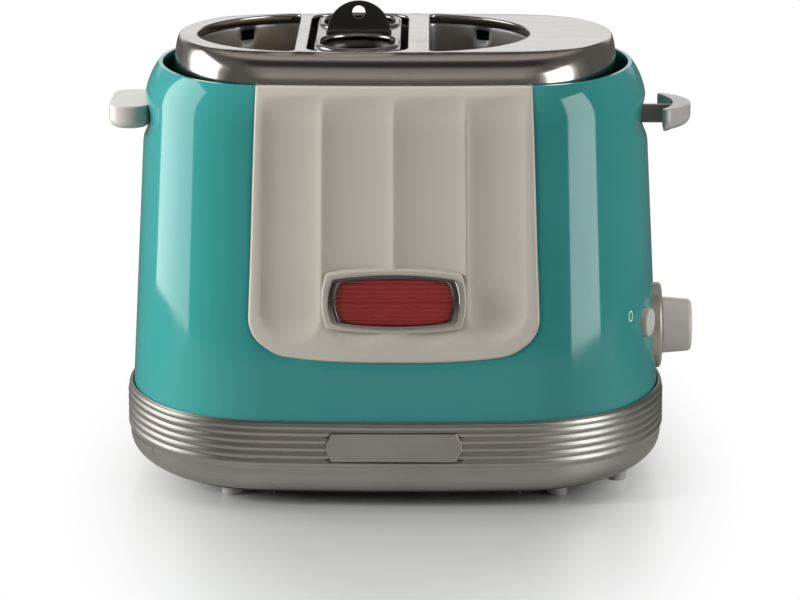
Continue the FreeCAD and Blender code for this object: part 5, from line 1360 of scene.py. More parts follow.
@dataclass
class Skirt:
    """The ribbed metal skirt with its round foot, the tray's front and the bare name plate."""

    band: float = 2.0
    groove: float = 2.3
    lip: float = 1.1
    pitch: float = 3.75
    bulge: float = 0.75
    ribs: int = 6
    rib_rows: int = 8
    top: float = 44.3
    low: float = 7.5
    turn: float = 11.0
    step: float = 3.0
    sheet: float = 1.2
    tray_half: float = 55.0
    tray_top: float = 20.6
    tray_gap: float = 0.4
    plate_x: float = 33.3
    plate_z: tuple[float, float] = (24.3, 39.4)
    plate_step: float = 0.05
    plate_back: float = 94.3
    plate_half: tuple[float, float] = (33.0, 7.25)
    plate_height: float = 31.85
    plate_thickness: float = 1.8
    plate_edge: float = 0.5
    plate_corner: float = 0.8
    notch: float = 2.8
    near: float = 0.001

    def profile(self, marks: Sequence[float]) -> Array:
        """Return the outer line from the foot's flange up over the ribs and into the lip.

        The foot is a quarter turn, and each rib an arc between two grooves:
        groove + bulge (1 - (2 t - 1)^2) for t from 0 to 1 up the rib.

        Args:
            marks: Heights at which a point must stand.

        Returns:
            Rows of (offset, height).
        """
        corners = [(-self.turn - 6, self.low, 0), (self.band, self.low, self.turn), (self.band, 20.9, 0)]
        base = self.top - self.pitch * self.ribs
        t = np.linspace(0, self.ribs, self.ribs * self.rib_rows + 1)
        lean = np.maximum(t - self.ribs + 1, 0) * (self.lip - self.groove)
        swell = self.bulge * (1 - (2 * (t % 1) - 1) ** 2)
        rows = np.stack((self.groove + lean + swell, base + t * self.pitch), 1)
        rows[0, 0] = self.groove
        rows[-1, 0] = self.lip
        end = ((self.lip - 0.25, self.top + 0.02), (0.75, self.top - 0.25), (0.7, 39.0))
        line = np.concatenate((rounded(corners, steps=12), rows, end))
        for mark in marks:
            at = int(np.nonzero(line[:, 1] > mark)[0][0])
            a, b = line[at - 1], line[at]
            line = np.insert(line, at, a + (b - a) * (mark - a[1]) / (b[1] - a[1]), 0)
        return line

    def outline(self, half: float) -> tuple[Outline, Array]:
        """Sample the belt line, with points at the tray's and the plate's edges.

        Args:
            half: Half the width that the tray takes of the left end.

        Returns:
            The line, and a mask of its runs that the tray takes.
        """
        tray = math.degrees(math.asin(half / (SIDE_RADIUS + self.band)))
        edges = (self.plate_x, self.plate_x + self.plate_step)
        seat = [math.degrees(math.asin(x / (FRONT_RADIUS + self.groove))) for x in edges]
        keep = [180 - tray, 180 + tray] + [270 + s * angle for s in (-1, 1) for angle in seat]
        line = Outline.of_arcs(BODY_ARCS, self.step, keep)
        away = np.degrees(np.abs(np.arctan2(line.normal[:, 1], -line.normal[:, 0])))
        taken = away < tray + self.near
        return line, taken & np.roll(taken, -1)

    def build(self) -> Pieces:
        """Build the skirt, the tray's front and the plate.

        Returns:
            The skirt, the tray's front and the plate.
        """
        low, high = self.plate_z
        line, taken = self.outline(self.tray_half)
        marks = (self.tray_top, low - self.plate_step, low, high, high + self.plate_step)
        grid = line.swept(self.profile(marks))
        x, y, z = np.moveaxis(grid, -1, 0)
        seat = (np.abs(x) < self.plate_x + 0.01) & between(z, (low - 0.01, high + 0.01))
        seat &= y < -self.plate_back
        grid[..., 1] = np.where(seat, -self.plate_back, y)
        skirt = Surface().wall(grid, kept=~(taken & (cell_middles(z) < self.tray_top)))
        line, taken = self.outline(self.tray_half - self.tray_gap)
        top = self.tray_top - self.tray_gap
        foot = self.profile((top,))
        grid = line.swept(foot[foot[:, 1] < top + self.near])
        front = Surface().wall(grid, kept=np.broadcast_to(taken, (len(grid) - 1, len(taken))))
        edges = Wall(self.sheet, 0.25)
        return [
            make_piece("skirt", skirt, SKIRT, "skirt_metal", "base_skirt", wall=Wall(self.sheet), sharp=32),
            make_piece("tray_end", front, SKIRT, "skirt_metal", "tray_front", Body.TRAY, edges, 32),
            self.name_plate(),
        ]

    def name_plate(self) -> Piece:
        """Build the bare plate, whose ends step in towards its top and bottom.

        Returns:
            The plate.
        """
        (wide, tall), notch = self.plate_half, self.notch
        quarter = [(wide, tall / 3), (wide - notch / 2, tall / 3 + notch / 2), (wide - notch, tall)]
        right = [(x, -y) for x, y in reversed(quarter)] + quarter
        corners = right + [(-x, -y) for x, y in right]
        line = rounded([(x, y, self.plate_corner) for x, y in corners], closed=True, steps=4)
        ahead, behind = np.roll(line, -1, 0) - line, line - np.roll(line, 1, 0)
        run = ahead / np.hypot(*ahead.T)[:, None] + behind / np.hypot(*behind.T)[:, None]
        run /= np.hypot(*run.T)[:, None]
        outline = Outline(line, np.stack((run[:, 1], -run[:, 0]), 1))
        place = Placing((0, -self.plate_back, self.plate_height), v=(0, 0, 1), w=(0, -1, 0))
        plate = Surface().plate(outline, [], 0.0, self.plate_thickness, self.plate_edge, 3).moved(place)
        return make_piece("blank_plate", plate, SKIRT, "skirt_metal", "name_plate", sharp=40)


@dataclass
class Cover:
    """The polished metal cover: flat top, round shoulder, and three openings with rolled edges."""

    top: float = 219.0
    low: float = 199.0
    ring: float = 7.6
    rings: int = 22
    drop: float = 14.5
    crown_end: float = 3.0
    crown_front: float = 17.5
    lip_width: float = 4.5
    sheet: float = 0.8
    rim: float = 2.2
    roll: float = 0.9
    lanes: tuple[float, ...] = (3.0, 3.9, 4.9, 5.9, 7.0)
    lanes_end: float = 8.2
    lane_gap: float = 0.5
    margin: float = 1.2
    cell: float = 2.2
    field_half: tuple[int, int] = (108, 74)
    step: float = 2.0
    opening_step: float = 1.6
    fine_step: float = 0.4

    def openings(self, step: float) -> list[Outline]:
        """Return the three openings in the cover's top, as points no further apart than a step."""
        return [Outline.of_arcs(arcs, step) for arcs in (LEFT_ARCS, MIDDLE_ARCS, RIGHT_ARCS)]

    def drop_at(self, plan: Array, line: Outline) -> Array:
        """Return how far the crowned top lies below its flat middle.

        At a distance d from the outer line it is drop (1 - sqrt(1 - (1 - d / width)^2)), where the
        width is narrow at the ends and wide at the front and back. Round each opening it fades out,
        which leaves the opening a raised lip.

        Args:
            plan: Points seen from above.
            line: The cover's outer line.

        Returns:
            The drops.
        """
        flat = plan.reshape(-1, 2)
        away = flat[:, None] - line.base[None]
        nearest = np.argmin((away**2).sum(2), 1)
        outward = line.normal[nearest]
        depth = np.maximum(-(away[np.arange(len(flat)), nearest] * outward).sum(1), 0)
        width = self.crown_end + (self.crown_front - self.crown_end) * outward[:, 1] ** 2
        short = np.clip(1 - depth / width, 0, 1)
        fall = self.drop * (1 - np.sqrt(1 - short * short))
        rims = np.concatenate([opening.at(self.rim) for opening in self.openings(self.fine_step)])
        gap = np.sqrt(((flat[:, None] - rims[None]) ** 2).sum(2).min(1))
        lip = np.clip(gap / self.lip_width, 0, 1) ** 2
        lip = lip * (3 - 2 * lip)
        share = np.where(depth < self.ring, np.maximum(lip, 1 - depth / self.ring), lip)
        return (fall * share).reshape(plan.shape[:-1])

    def field(self, openings: Sequence[Outline], limit: Array) -> Array:
        """Place the points that the top's triangles meet: a square field, and lanes round the openings.

        Args:
            openings: The three openings.
            limit: The closed line that all points lie in.

        Returns:
            The points seen from above.
        """
        wide, deep = self.field_half
        x, y = np.meshgrid(np.arange(-wide, wide + 1, self.cell), np.arange(-deep, deep + 1, self.cell))
        points = np.stack((x.ravel(), y.ravel()), 1)
        points = points[inside(points, limit)]
        lanes = []
        for opening in openings:
            points = points[~inside(points, opening.at(self.lanes_end))]
            for gap in self.lanes:
                lane = opening.at(gap)
                for other in openings:
                    if other is not opening:
                        lane = lane[~inside(lane, other.at(gap + self.lane_gap))]
                lanes.append(lane[inside(lane, limit)])
        return np.concatenate([points, *lanes])

    def build(self) -> Pieces:
        """Build the cover as one sheet: its side, its crowned top and the openings' rolled edges.

        Returns:
            The cover.
        """
        line = Outline.of_arcs(COVER_ARCS, self.step)
        top, low = self.top, self.low
        share = (np.arange(1, self.rings + 1) / self.rings) ** 2
        upper = line.swept(np.stack((-self.ring * share, np.full(self.rings, top)), 1))
        upper[..., 2] -= self.drop_at(upper[..., :2], line)
        foot = np.array(((-1.2, low), (-0.3, low), (-0.05, low + 0.4), (0, low + 1.2), (0, top - self.drop)))
        surface = Surface().wall(np.concatenate((line.swept(foot), upper)))
        openings = self.openings(self.opening_step)
        edge = rounded([(self.rim, top, 0), (0, top, self.roll), (0, top - 4.5, 0)], steps=6)
        for opening in openings:
            surface.wall(opening.swept(edge))
        inner = self.field(openings, line.at(-self.ring - self.margin))
        rims = [opening.at(self.rim) for opening in openings]
        flat = Surface().sheet(line.at(-self.ring), rims, top, inner=inner)
        flat.points[0][:, 2] -= self.drop_at(flat.points[0][:, :2], line)
        surface.join(flat)
        wall = Wall(self.sheet)
        return [make_piece("cover", surface, COVER, "cover_metal", "top_cover", wall=wall, sharp=60)]


@dataclass
class Wells:
    """The thin sheet wells under the openings, with windows towards the heaters."""

    low: float = 45.2
    high: float = 217.9
    row: float = 6.0
    gap: float = 1.1
    sheet: float = 0.8
    window_half: float = 46.0
    window: tuple[float, float] = (52.2, 211.2)
    notch: tuple[float, float] = (207.2, 212.4)
    notch_half: tuple[float, float] = (3.6, 5.0)
    notch_angle: float = 53.0
    step: float = 2.0
    near: float = 0.3

    def well(
        self, name: str, node: str, arcs: list[Arc], flat_x: Sequence[float], notch: Sequence[float] = ()
    ) -> Piece:
        """Build one well with its inner face first and its wall added outwards.

        Cells of the flat side that lie in the window are left out, and so is a small square notch
        near the top of the round side.

        Args:
            name: The piece's name.
            node: The CAD node that it stands for.
            arcs: The opening over it.
            flat_x: Where its flat sides stand.
            notch: The notch's place seen from above, if it has one.

        Returns:
            The well.
        """
        rows = stops(sorted((self.low, *self.window, *self.notch, self.high)), self.row)[::-1]
        base = Outline.of_arcs(arcs, self.step).swept(np.stack((np.full(len(rows), self.gap), rows), 1))
        x, y, z = np.moveaxis(cell_middles(base), -1, 0)
        cut = np.zeros(x.shape, bool)
        for side in flat_x:
            near = (np.abs(x - side) < self.near) & (np.abs(y) < self.window_half)
            cut |= near & between(z, self.window)
        if notch:
            near = (np.abs(x - notch[0]) < self.notch_half[0]) & (np.abs(y - notch[1]) < self.notch_half[1])
            cut |= near & between(z, self.notch)
        surface = Surface().wall(base, kept=~cut)
        # The wells' dark colour is painted shade inside them.
        return make_piece(name, surface, SHADED_WELL, "well_sheet", node, wall=Wall(self.sheet))

    def build(self) -> Pieces:
        """Build the left, the right and the middle well.

        Returns:
            The three wells.
        """
        angle, wells = math.radians(self.notch_angle), []
        sides = (("left", -1, BUN_LEFT, LEFT_ARCS), ("right", 1, BUN_RIGHT, RIGHT_ARCS))
        for label, side, edge, arcs in sides:
            reach = BUN_WIDTH - BUN_RADIUS + BUN_RADIUS * math.cos(angle)
            notch = (edge + side * reach, BUN_RADIUS * math.sin(angle))
            flat = (edge - side * self.gap,)
            wells.append(self.well(f"bun_well_{label}", f"well_{label}", arcs, flat, notch))
        flat = [MIDDLE_X + side * (MIDDLE_HALF + self.gap) for side in (-1, 1)]
        return [*wells, self.well("middle_well", "sausage_well", MIDDLE_ARCS, flat)]


@dataclass
class Basket:
    """The lift-out basket: a plate with two rolled rims, two windowed cups and a black grip."""

    x: float = MIDDLE_X
    top: float = 218.6
    half_x: float = 20.9
    half_y: float = 55.8
    corner: float = 11.0
    edge: float = 1.4
    sheet: float = 0.8
    cup_x: float = 17.5
    cup_y: float = 22.3
    cup_at: float = 32.0
    rim: float = 1.4
    rim_foot: float = 0.6
    floor: float = 126.5
    drain: float = 6.0
    window: tuple[float, float] = (135.5, 208.0)
    window_top: float = 217.0
    window_reach: float = 14.4
    window_half: float = 3.4
    window_pitch: float = 11.0
    cup_row: float = 8.0
    grip: float = 16.2
    grip_half: float = 1.0
    grip_edge: float = 0.45
    grip_heel: float = 1.6
    grip_corner: float = 1.0
    grip_hole: tuple[float, float] = (3.2, 10.6)
    foot: Triple = (4.0, 1.5, 1.6)
    strip: Triple = (2.2, 1.0, 1.9)
    plate_step: float = 1.6
    cup_step: float = 1.3
    grip_step: float = 0.9
    foot_step: float = 1.5

    def cup(self, y: float) -> Outline:
        """Return a hole's outline, round at both ends.

        Args:
            y: The hole's middle.

        Returns:
            The outline.
        """
        straight = self.cup_y - self.cup_x
        arcs = [(self.x, y + straight, self.cup_x, 0, 180), (self.x, y - straight, self.cup_x, 180, 360)]
        return Outline.of_arcs(arcs, self.cup_step)

    def plate(self) -> Piece:
        """Build the plate with its rims, whose tops are half circles of the rim's radius.

        Returns:
            The plate.
        """
        arcs = soft_rectangle(self.half_x, self.half_y, self.corner, self.x)
        outer = Outline.of_arcs(arcs, self.plate_step)
        top, rim, edge = self.top, self.rim, self.edge
        side = rounded([(-0.2, top - 1.6, 0), (0, top - 1.2, 0.2), (0, top, 0.7), (-edge, top, 0)], steps=4)
        surface = Surface().wall(outer.swept(side))
        turn = np.linspace(0, np.pi, 11)[1:]
        foot = ((rim * 2 + self.rim_foot, top), (rim * 2 + 0.15, top + 0.05))
        arch = np.stack((rim + rim * np.cos(turn), top + rim * np.sin(turn)), 1)
        line = np.concatenate((foot, arch, ((0, top - 2.0),)))
        holes = [self.cup(self.cup_at * s) for s in (-1, 1)]
        for hole in holes:
            surface.wall(hole.swept(line))
        surface.sheet(outer.at(-edge), [hole.at(rim * 2 + self.rim_foot) for hole in holes], top)
        slot, wall = "basket_metal", Wall(self.sheet)
        return make_piece("basket_top", surface, BASKET_STEEL, slot, "basket_plate", Body.BASKET, wall, 50)

    def cups(self) -> Pieces:
        """Build the cups as sheets with three windows in each flat side and a drain in the floor.

        Returns:
            The front and the rear cup.
        """
        pieces = []
        for label, side in (("front", -1), ("rear", 1)):
            line = self.cup(self.cup_at * side)
            rows = stops((self.floor, *self.window, self.window_top), self.cup_row)[::-1]
            base = line.swept(np.stack((np.zeros(len(rows)), rows), 1))
            middle = cell_middles(base)
            shift = middle[..., 1] - self.cup_at * side
            pitch = self.window_pitch
            gate = np.abs((shift + 1.5 * pitch) % pitch - pitch / 2) < self.window_half
            gate &= (np.abs(shift) < self.window_reach) & between(middle[..., 2], self.window)
            surface = Surface().wall(base, kept=~gate)
            drain = circle(self.drain, 32, self.x, self.cup_at * side)
            surface.sheet(line.at(0), [drain.at(0)], self.floor)
            name, node, wall = f"cup_{label}", f"basket_cup_{label}", Wall(self.sheet)
            # The cups' darker steel is painted shade down in the well.
            pieces.append(make_piece(name, surface, SHADED_CUP_STEEL, "basket_metal", node, Body.BASKET, wall))
        return pieces

    def handle(self) -> Pieces:
        """Build the half-round grip with its hole, on a light foot with a bright strip.

        Returns:
            The grip and its strip.
        """
        grip, top, half = self.grip, self.top, self.grip_half
        heel, corner = self.grip_heel, self.grip_corner
        arcs = [
            (0, 0.6, grip - 0.6, 0, 180),
            (-grip + heel, corner, corner, 180, 270),
            (grip - heel, corner, corner, 270, 360),
        ]
        hole = circle(self.grip_hole[0], 40, 0, self.grip_hole[1])
        line = Outline.of_arcs(arcs, self.grip_step)
        surface = Surface().plate(line, [hole], -half, half, self.grip_edge)
        surface.moved(Placing((self.x, 0, top), v=(0, 0, 1), w=(0, -1, 0)))
        deep, corner, rise = self.foot
        foot = Outline.of_arcs(soft_rectangle(grip, deep, corner, self.x), self.foot_step)
        surface.join(Surface().plate(foot, [], top, top + rise, 0.5))
        deep, corner, height = self.strip
        line = Outline.of_arcs(soft_rectangle(grip - 0.2, deep, corner, self.x), self.foot_step)
        strip = Surface().plate(line, [], top + rise - 0.1, top + height, 0.15, 2)
        return [
            make_piece("grip", surface, GRIP, "grip_black", "basket_grip", Body.BASKET),
            make_piece("grip_strip", strip, BASKET_STEEL, "basket_metal", body=Body.BASKET, sharp=38),
        ]

    def build(self) -> Pieces:
        """Build the plate, the cups and the grip."""
        return [self.plate(), *self.cups(), *self.handle()]


@dataclass
class Handles:
    """The fixed handle on the left and the curved cap of the lever on the right."""

    low: float = 174.3
    height: float = 11.6
    reach: float = 141.3
    root: float = 120.45
    half: float = 25.0
    corner: float = 10.0
    under: float = 4.6
    crisp: float = 0.9
    flat: tuple[float, float] = (0.6, 0.4)
    cap_z: tuple[float, float] = (173.5, 184.5)
    cap_under: float = 5.2
    outer: tuple[float, float] = (29.08, 117.62)
    inner: tuple[float, float] = (39.54, 98.16)
    tip: float = 2.0
    back_bulge: float = 0.3
    step: float = 1.2
    cap_step: float = 0.8

    def bar(self, outline: Outline, low: float, high: float, under: float) -> Surface:
        """Make a closed bar with a crisp upper edge and a wide round lower one.

        Args:
            outline: Its plan.
            low: The height of its lower face.
            high: The height of its upper face.
            under: Radius of its lower edge.

        Returns:
            The bar.
        """
        below, above = -under - self.flat[0], -self.crisp - self.flat[1]
        side = rounded([(below, low, 0), (0, low, under), (0, high, self.crisp), (above, high, 0)], steps=10)
        surface = Surface().wall(outline.swept(side))
        return surface.sheet(outline.at(below), [], low, up=False).sheet(outline.at(above), [], high)

    def side_handle(self) -> Piece:
        """Build the handle as a bar whose plan has wide round corners.

        Returns:
            The handle.
        """
        middle, wide = -(self.reach + self.root) / 2, (self.reach - self.root) / 2
        outline = Outline.of_arcs(soft_rectangle(wide, self.half, self.corner, middle), self.step)
        surface = self.bar(outline, self.low, self.low + self.height, self.under)
        return make_piece("carry_handle", surface, GREY_CAP, "cream", "side_handle", sharp=60)

    def lever_cap(self) -> Piece:
        """Build the crescent: an outer arc, two tips and a hollow inner arc, tangent all round.

        Returns:
            The cap.
        """
        (outer, outer_x), (inner, inner_x), tip = self.outer, self.inner, self.tip
        apart = outer_x - inner_x
        along = ((inner + tip) ** 2 - (outer - tip) ** 2 + apart**2) / (2 * apart)
        x, y = inner_x + along, math.sqrt((inner + tip) ** 2 - along**2)
        a = math.degrees(math.atan2(y, x - outer_x))
        b = math.degrees(math.atan2(y, along))
        arcs = [
            (outer_x, 0, outer, -a, a),
            (x, y, tip, a, 180 + b),
            (inner_x, 0, -inner, 180 + b, 180 - b),
            (x, -y, tip, 180 - b, 360 - a),
        ]
        line = Outline.of_arcs(arcs, self.cap_step)
        ahead = np.clip((line.normal[:, 0] + 0.35) / 0.9, 0, 1)
        bulge = self.back_bulge + (1 - self.back_bulge) * ahead * ahead * (3 - 2 * ahead)
        surface = self.bar(Outline(line.base, line.normal * bulge[:, None]), *self.cap_z, self.cap_under)
        # The grip's darker copy of the light grey plastic is painted shade.
        return make_piece("lever_grip", surface, SHADED_GREY_CAP, "cream", "lever_cap", Body.CARRIAGE, sharp=60)

    def build(self) -> Pieces:
        """Build the handle and the cap."""
        return [self.side_handle(), self.lever_cap()]


@dataclass
class Controls:
    """The browning knob on its ring, the cancel button, and the marks printed beside them."""

    height: float = KNOB_HEIGHT
    ring_radius: float = 21.5
    ring_base: float = 126.0
    knob_base: float = 133.9
    knob_end: float = 148.7
    mark_sizes: tuple[float, ...] = (1.1, 1.5, 1.9, 2.3, 2.7, 3.1, 3.5)
    mark_start: float = 225.0
    mark_pitch: float = 45.0
    mark_reach: float = 19.9
    mark_height: float = 7.02
    button_height: float = BUTTON_HEIGHT
    button_turn: float = -19.6
    zero_height: float = 87.3
    zero_turn: float = -29.2

    def sideways(self, x: float) -> Placing:
        """Return the placing that turns w to +X."""
        return Placing((x, 0, self.height), (0, 1, 0), (0, 0, 1), (1, 0, 0))

    def marks(self) -> Surface:
        """Return the ring's marks, which grow as the knob's heat does.

        Returns:
            The marks in one surface.
        """
        marks = Surface()
        for index, size in enumerate(self.mark_sizes):
            angle = math.radians(self.mark_start - self.mark_pitch * index)
            u, v = math.cos(angle), math.sin(angle)
            arcs = soft_rectangle(size / 2 - 0.2, 0.35, 0.3, self.mark_reach - size / 2)
            dash = Surface().plate(Outline.of_arcs(arcs, 0.3), [], 0.0, 0.06, 0.02, 1)
            marks.join(dash.moved(Placing((0, 0, self.mark_height), (u, v, 0), (-v, u, 0))))
        return marks.moved(self.sideways(self.ring_base))

    def knob(self) -> Pieces:
        """Build the ring, the knob with its raised pointer, and the ring's marks.

        Returns:
            The ring, the knob, its pointer and the marks.
        """
        radius, base, length = self.ring_radius, self.knob_base, self.knob_end - self.knob_base
        face = [(18.2, 7.5, 0.4), (17.6, 7.1, 0.4), (14.6, 7.1, 0.3), (14.4, 6.2, 0)]
        ring = Surface().spun([(radius, 0, 0), (radius, 7.5, 1.6), *face], 5, 96)
        dish = [(9.6, length, 0.6), (9.2, length - 0.5, 0.5), (4.0, length - 0.7, 0)]
        knob = Surface().spun([(13.9, 0, 0), (14.2, 0.3, 0.2), (12.95, length, 2.2), *dish], 6, 96)
        line = Outline.of_arcs(soft_rectangle(0.8, 4.6, 0.7, 0, 6.2), 0.5)
        bar = Surface().plate(line, [], length - 1.2, length - 0.05, 0.3, 3)
        ring.moved(self.sideways(self.ring_base))
        knob.moved(self.sideways(base))
        bar.moved(self.sideways(base))
        return [
            make_piece("knob_ring", ring, RING, "cream", "dial_ring"),
            make_piece("knob", knob, GREY_CAP, "cream", "control_knob", Body.KNOB),
            make_piece("knob_pointer", bar, DARK_PRINT, "cream", body=Body.KNOB, sharp=38),
            make_piece("ring_marks", self.marks(), DARK_PRINT, "cream", sharp=38),
        ]

    def button(self) -> Pieces:
        """Build the round button, square to the wall's plan, and the plain zero beside it.

        Returns:
            The button and the zero.
        """
        turn = math.radians(self.button_turn)
        ahead, across = (math.cos(turn), math.sin(turn), 0), (-math.sin(turn), math.cos(turn), 0)
        span = SIDE_RADIUS + float(wall_offset(self.button_height))
        origin = (SIDE_CENTRE + span * ahead[0], span * ahead[1], self.button_height)
        cap = Surface().spun([(7.0, -3.0, 0), (7.0, 3.5, 1.3), (3.0, 3.4, 2.0), (0.4, 3.2, 0)], 6)
        cap.moved(Placing(origin, across, (0, 0, 1), ahead))
        line = Outline.of_arcs([(0, 0.5, 1.9, 0, 180), (0, -0.5, 1.9, 180, 360)], 0.25)
        grid = line.swept(np.array(((0.28, 0), (0.28, 0.05), (-0.28, 0.05), (-0.28, 0))))
        angle = math.radians(self.zero_turn) + grid[..., 0] / END_UNIT
        height = self.zero_height + grid[..., 1]
        reach = SIDE_RADIUS + wall_offset(height) + 0.01 + grid[..., 2]
        zero = np.stack((SIDE_CENTRE + reach * np.cos(angle), reach * np.sin(angle), height), -1)
        return [
            make_piece("stop_button", cap, GREY_CAP, "cream", "cancel_button", Body.BUTTON, sharp=50),
            make_piece("zero_mark", Surface().wall(zero), PRINT, "cream", sharp=38),
        ]

    def build(self) -> Pieces:
        """Build the knob, the ring, the button and their marks."""
        return [*self.knob(), *self.button()]


@dataclass
class Underside:
    """The feet and the cord's bush."""

    feet: tuple[tuple[str, float, float], ...] = (
        ("front_left", -80.0, -63.2),
        ("front_right", 80.0, -63.2),
        ("rear_left", -80.0, 63.2),
        ("rear_right", 80.0, 63.2),
        ("side_front", 110.5, -36.0),
        ("side_rear", 110.5, 36.0),
    )
    stud: Corners = ((0.6, 0.5, 0), (3.0, 0.5, 0.2), (3.3, 0, 0.3), (4.8, 0, 0.8), (5.3, 6.0, 0))
    bush_flange: Corners = ((5.4, -5.5, 0), (5.4, 0, 0.2), (8.0, 0, 0.3), (8.0, 2.0, 1.0))
    bush_mouth: Corners = ((5.0, 2.0, 0.8), (3.2, 1.4, 0.8), (3.2, -4.0, 0))
    bush_at: Triple = (40.0, 96.55, 28.0)

    def build(self) -> Pieces:
        """Build the feet as turned studs with a ring under them, and the bush.

        Returns:
            The feet and the bush.
        """
        pieces = []
        for label, x, y in self.feet:
            surface = Surface().spun(self.stud, 4, 40).moved(Placing((x, y, 0)))
            name, node = f"stud_{label}", f"foot_{label}"
            pieces.append(make_piece(name, surface, FEET, "foot_rubber", node, sharp=50))
        bush = Surface().spun([*self.bush_flange, *self.bush_mouth], 5)
        bush.moved(Placing(self.bush_at, (-1, 0, 0), (0, 0, 1), (0, 1, 0)))
        return [*pieces, make_piece("inlet_bush", bush, BUSH, "bush_black", "cord_bush")]


@dataclass
class Springs:
    """The two return springs, which shorten between the chassis and the carriage."""

    coil_radius: float = 3.0
    wire_radius: float = 0.47
    turns: float = 21.5
    end_turns: float = 1.25
    travel: float = 60.0
    steps: int = 24
    sides: int = 8

    def coil(self, low: float, high: float) -> Surface:
        """Wind one wire between two heights.

        The middle of the wire stands at (r cos a, r sin a, h(a)), where h rises by one wire per turn in
        the closed ends and evenly between them. Each ring of the wire lies in the plane of the radius
        and of the tangent crossed with the radius.

        Args:
            low: The height of the lower end in millimetres.
            high: The height of the upper end in millimetres.

        Returns:
            The closed wire about its own axis.
        """
        turn = np.linspace(0, self.turns, int(self.turns * self.steps) + 1)
        closed = self.end_turns * 2 * self.wire_radius
        bottom, top = low + self.wire_radius, high - self.wire_radius
        known = (0, self.end_turns, self.turns - self.end_turns, self.turns)
        height = np.interp(turn, known, (bottom, bottom + closed, top - closed, top))
        angle = 2 * np.pi * turn
        nought = 0 * angle
        out = np.stack((np.cos(angle), np.sin(angle), nought), -1)
        middle = self.coil_radius * out + np.stack((nought, nought, height), -1)
        tangent = np.gradient(middle, axis=0)
        tangent /= np.linalg.norm(tangent, axis=1, keepdims=True)
        across = np.cross(tangent, out)
        side = (np.arange(self.sides) * 2 * np.pi / self.sides)[None, :, None]
        ring = np.cos(side) * out[:, None] + np.sin(side) * across[:, None]
        return Surface().tube(middle[:, None] + self.wire_radius * ring)

    def build(self) -> Pieces:
        """Wind both springs in their nodes' places.

        Returns:
            Both springs.
        """
        pieces = []
        for end in ("front", "rear"):
            name, node = f"spring_{end}", f"return_spring_{end}"
            low, high = (np.array(corner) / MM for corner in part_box(node))
            x, y, _ = (low + high) / 2
            surface = self.coil(low[2], high[2]).moved(Placing((x - AXIS_X, y, 0)))
            piece = make_piece(name, surface, SPRING, "spring_steel", node, sharp=80)
            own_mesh(piece)
            pieces.append(piece)
        return pieces


@dataclass
class Inside:
    """The CAD nodes that stay as they are, each given its finish."""

    finishes: tuple[tuple[Finish, str], ...] = (
        (CHASSIS, "chassis_left chassis_right chassis_floor carriage_frame rack_bar basket_rest latch_plate"),
        (ARM, "lever_arm"),
        (WIRE, "bun_rest_left bun_rest_right guard_wires_left guard_wires_right guard_wires_middle"),
        (TRAY, "crumb_tray"),
        (BASE_COAT, "base_plate"),
        (MICA, "heater_card_left heater_card_right"),
        (RIBBON, "heater_ribbons_left heater_ribbons_right"),
        (STEEL, "guide_rods timer_shaft"),
        (BLACKENED, "base_screws handle_screws"),
        (IRON, "latch_core"),
        (COPPER, "latch_coil"),
        (BOARD, "circuit_board"),
        (BLACK, "board_parts cancel_switch timer"),
        (TERMINAL, "terminal_block"),
    )

    def build(self) -> Pieces:
        """Assign each finish to its nodes' slots.

        Returns:
            The dressed nodes.
        """
        dressed = []
        for finish, names in self.finishes:
            for name in names.split():
                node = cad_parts[name]
                if not node.material_slots:
                    node.data.materials.append(None)
                for slot in node.material_slots:
                    slot.material = finish.material()
                LOG.info("%s: kept, in %s", name, finish.name)
                dressed.append(node)
        return dressed


@dataclass(frozen=True)
class Softbox:
    """A rectangular light that looks at a point."""

    name: str
    at: Triple
    to: Triple
    size: tuple[float, float]
    power: float
    in_gloss: bool = False
    diffuse: float = 1.0

    def hang(self) -> None:
        """Add the light and turn it to its point."""
        light = bpy.data.lights.new(self.name, "AREA")
        light.shape, light.size, light.size_y, light.energy = "RECTANGLE", *self.size, self.power
        light.diffuse_factor = self.diffuse
        lamp = linked(self.name, light)
        lamp.location = self.at
        ahead = np.array(self.to) - np.array(self.at)
        ahead = ahead / np.linalg.norm(ahead)
        right = np.cross(ahead, (0, 0, 1))
        right = right / np.linalg.norm(right)
        turn = Matrix(np.stack((right, np.cross(right, ahead), -ahead), 1).tolist())
        lamp.rotation_euler = turn.to_euler()
        lamp.visible_camera = False
        lamp.visible_glossy = self.in_gloss


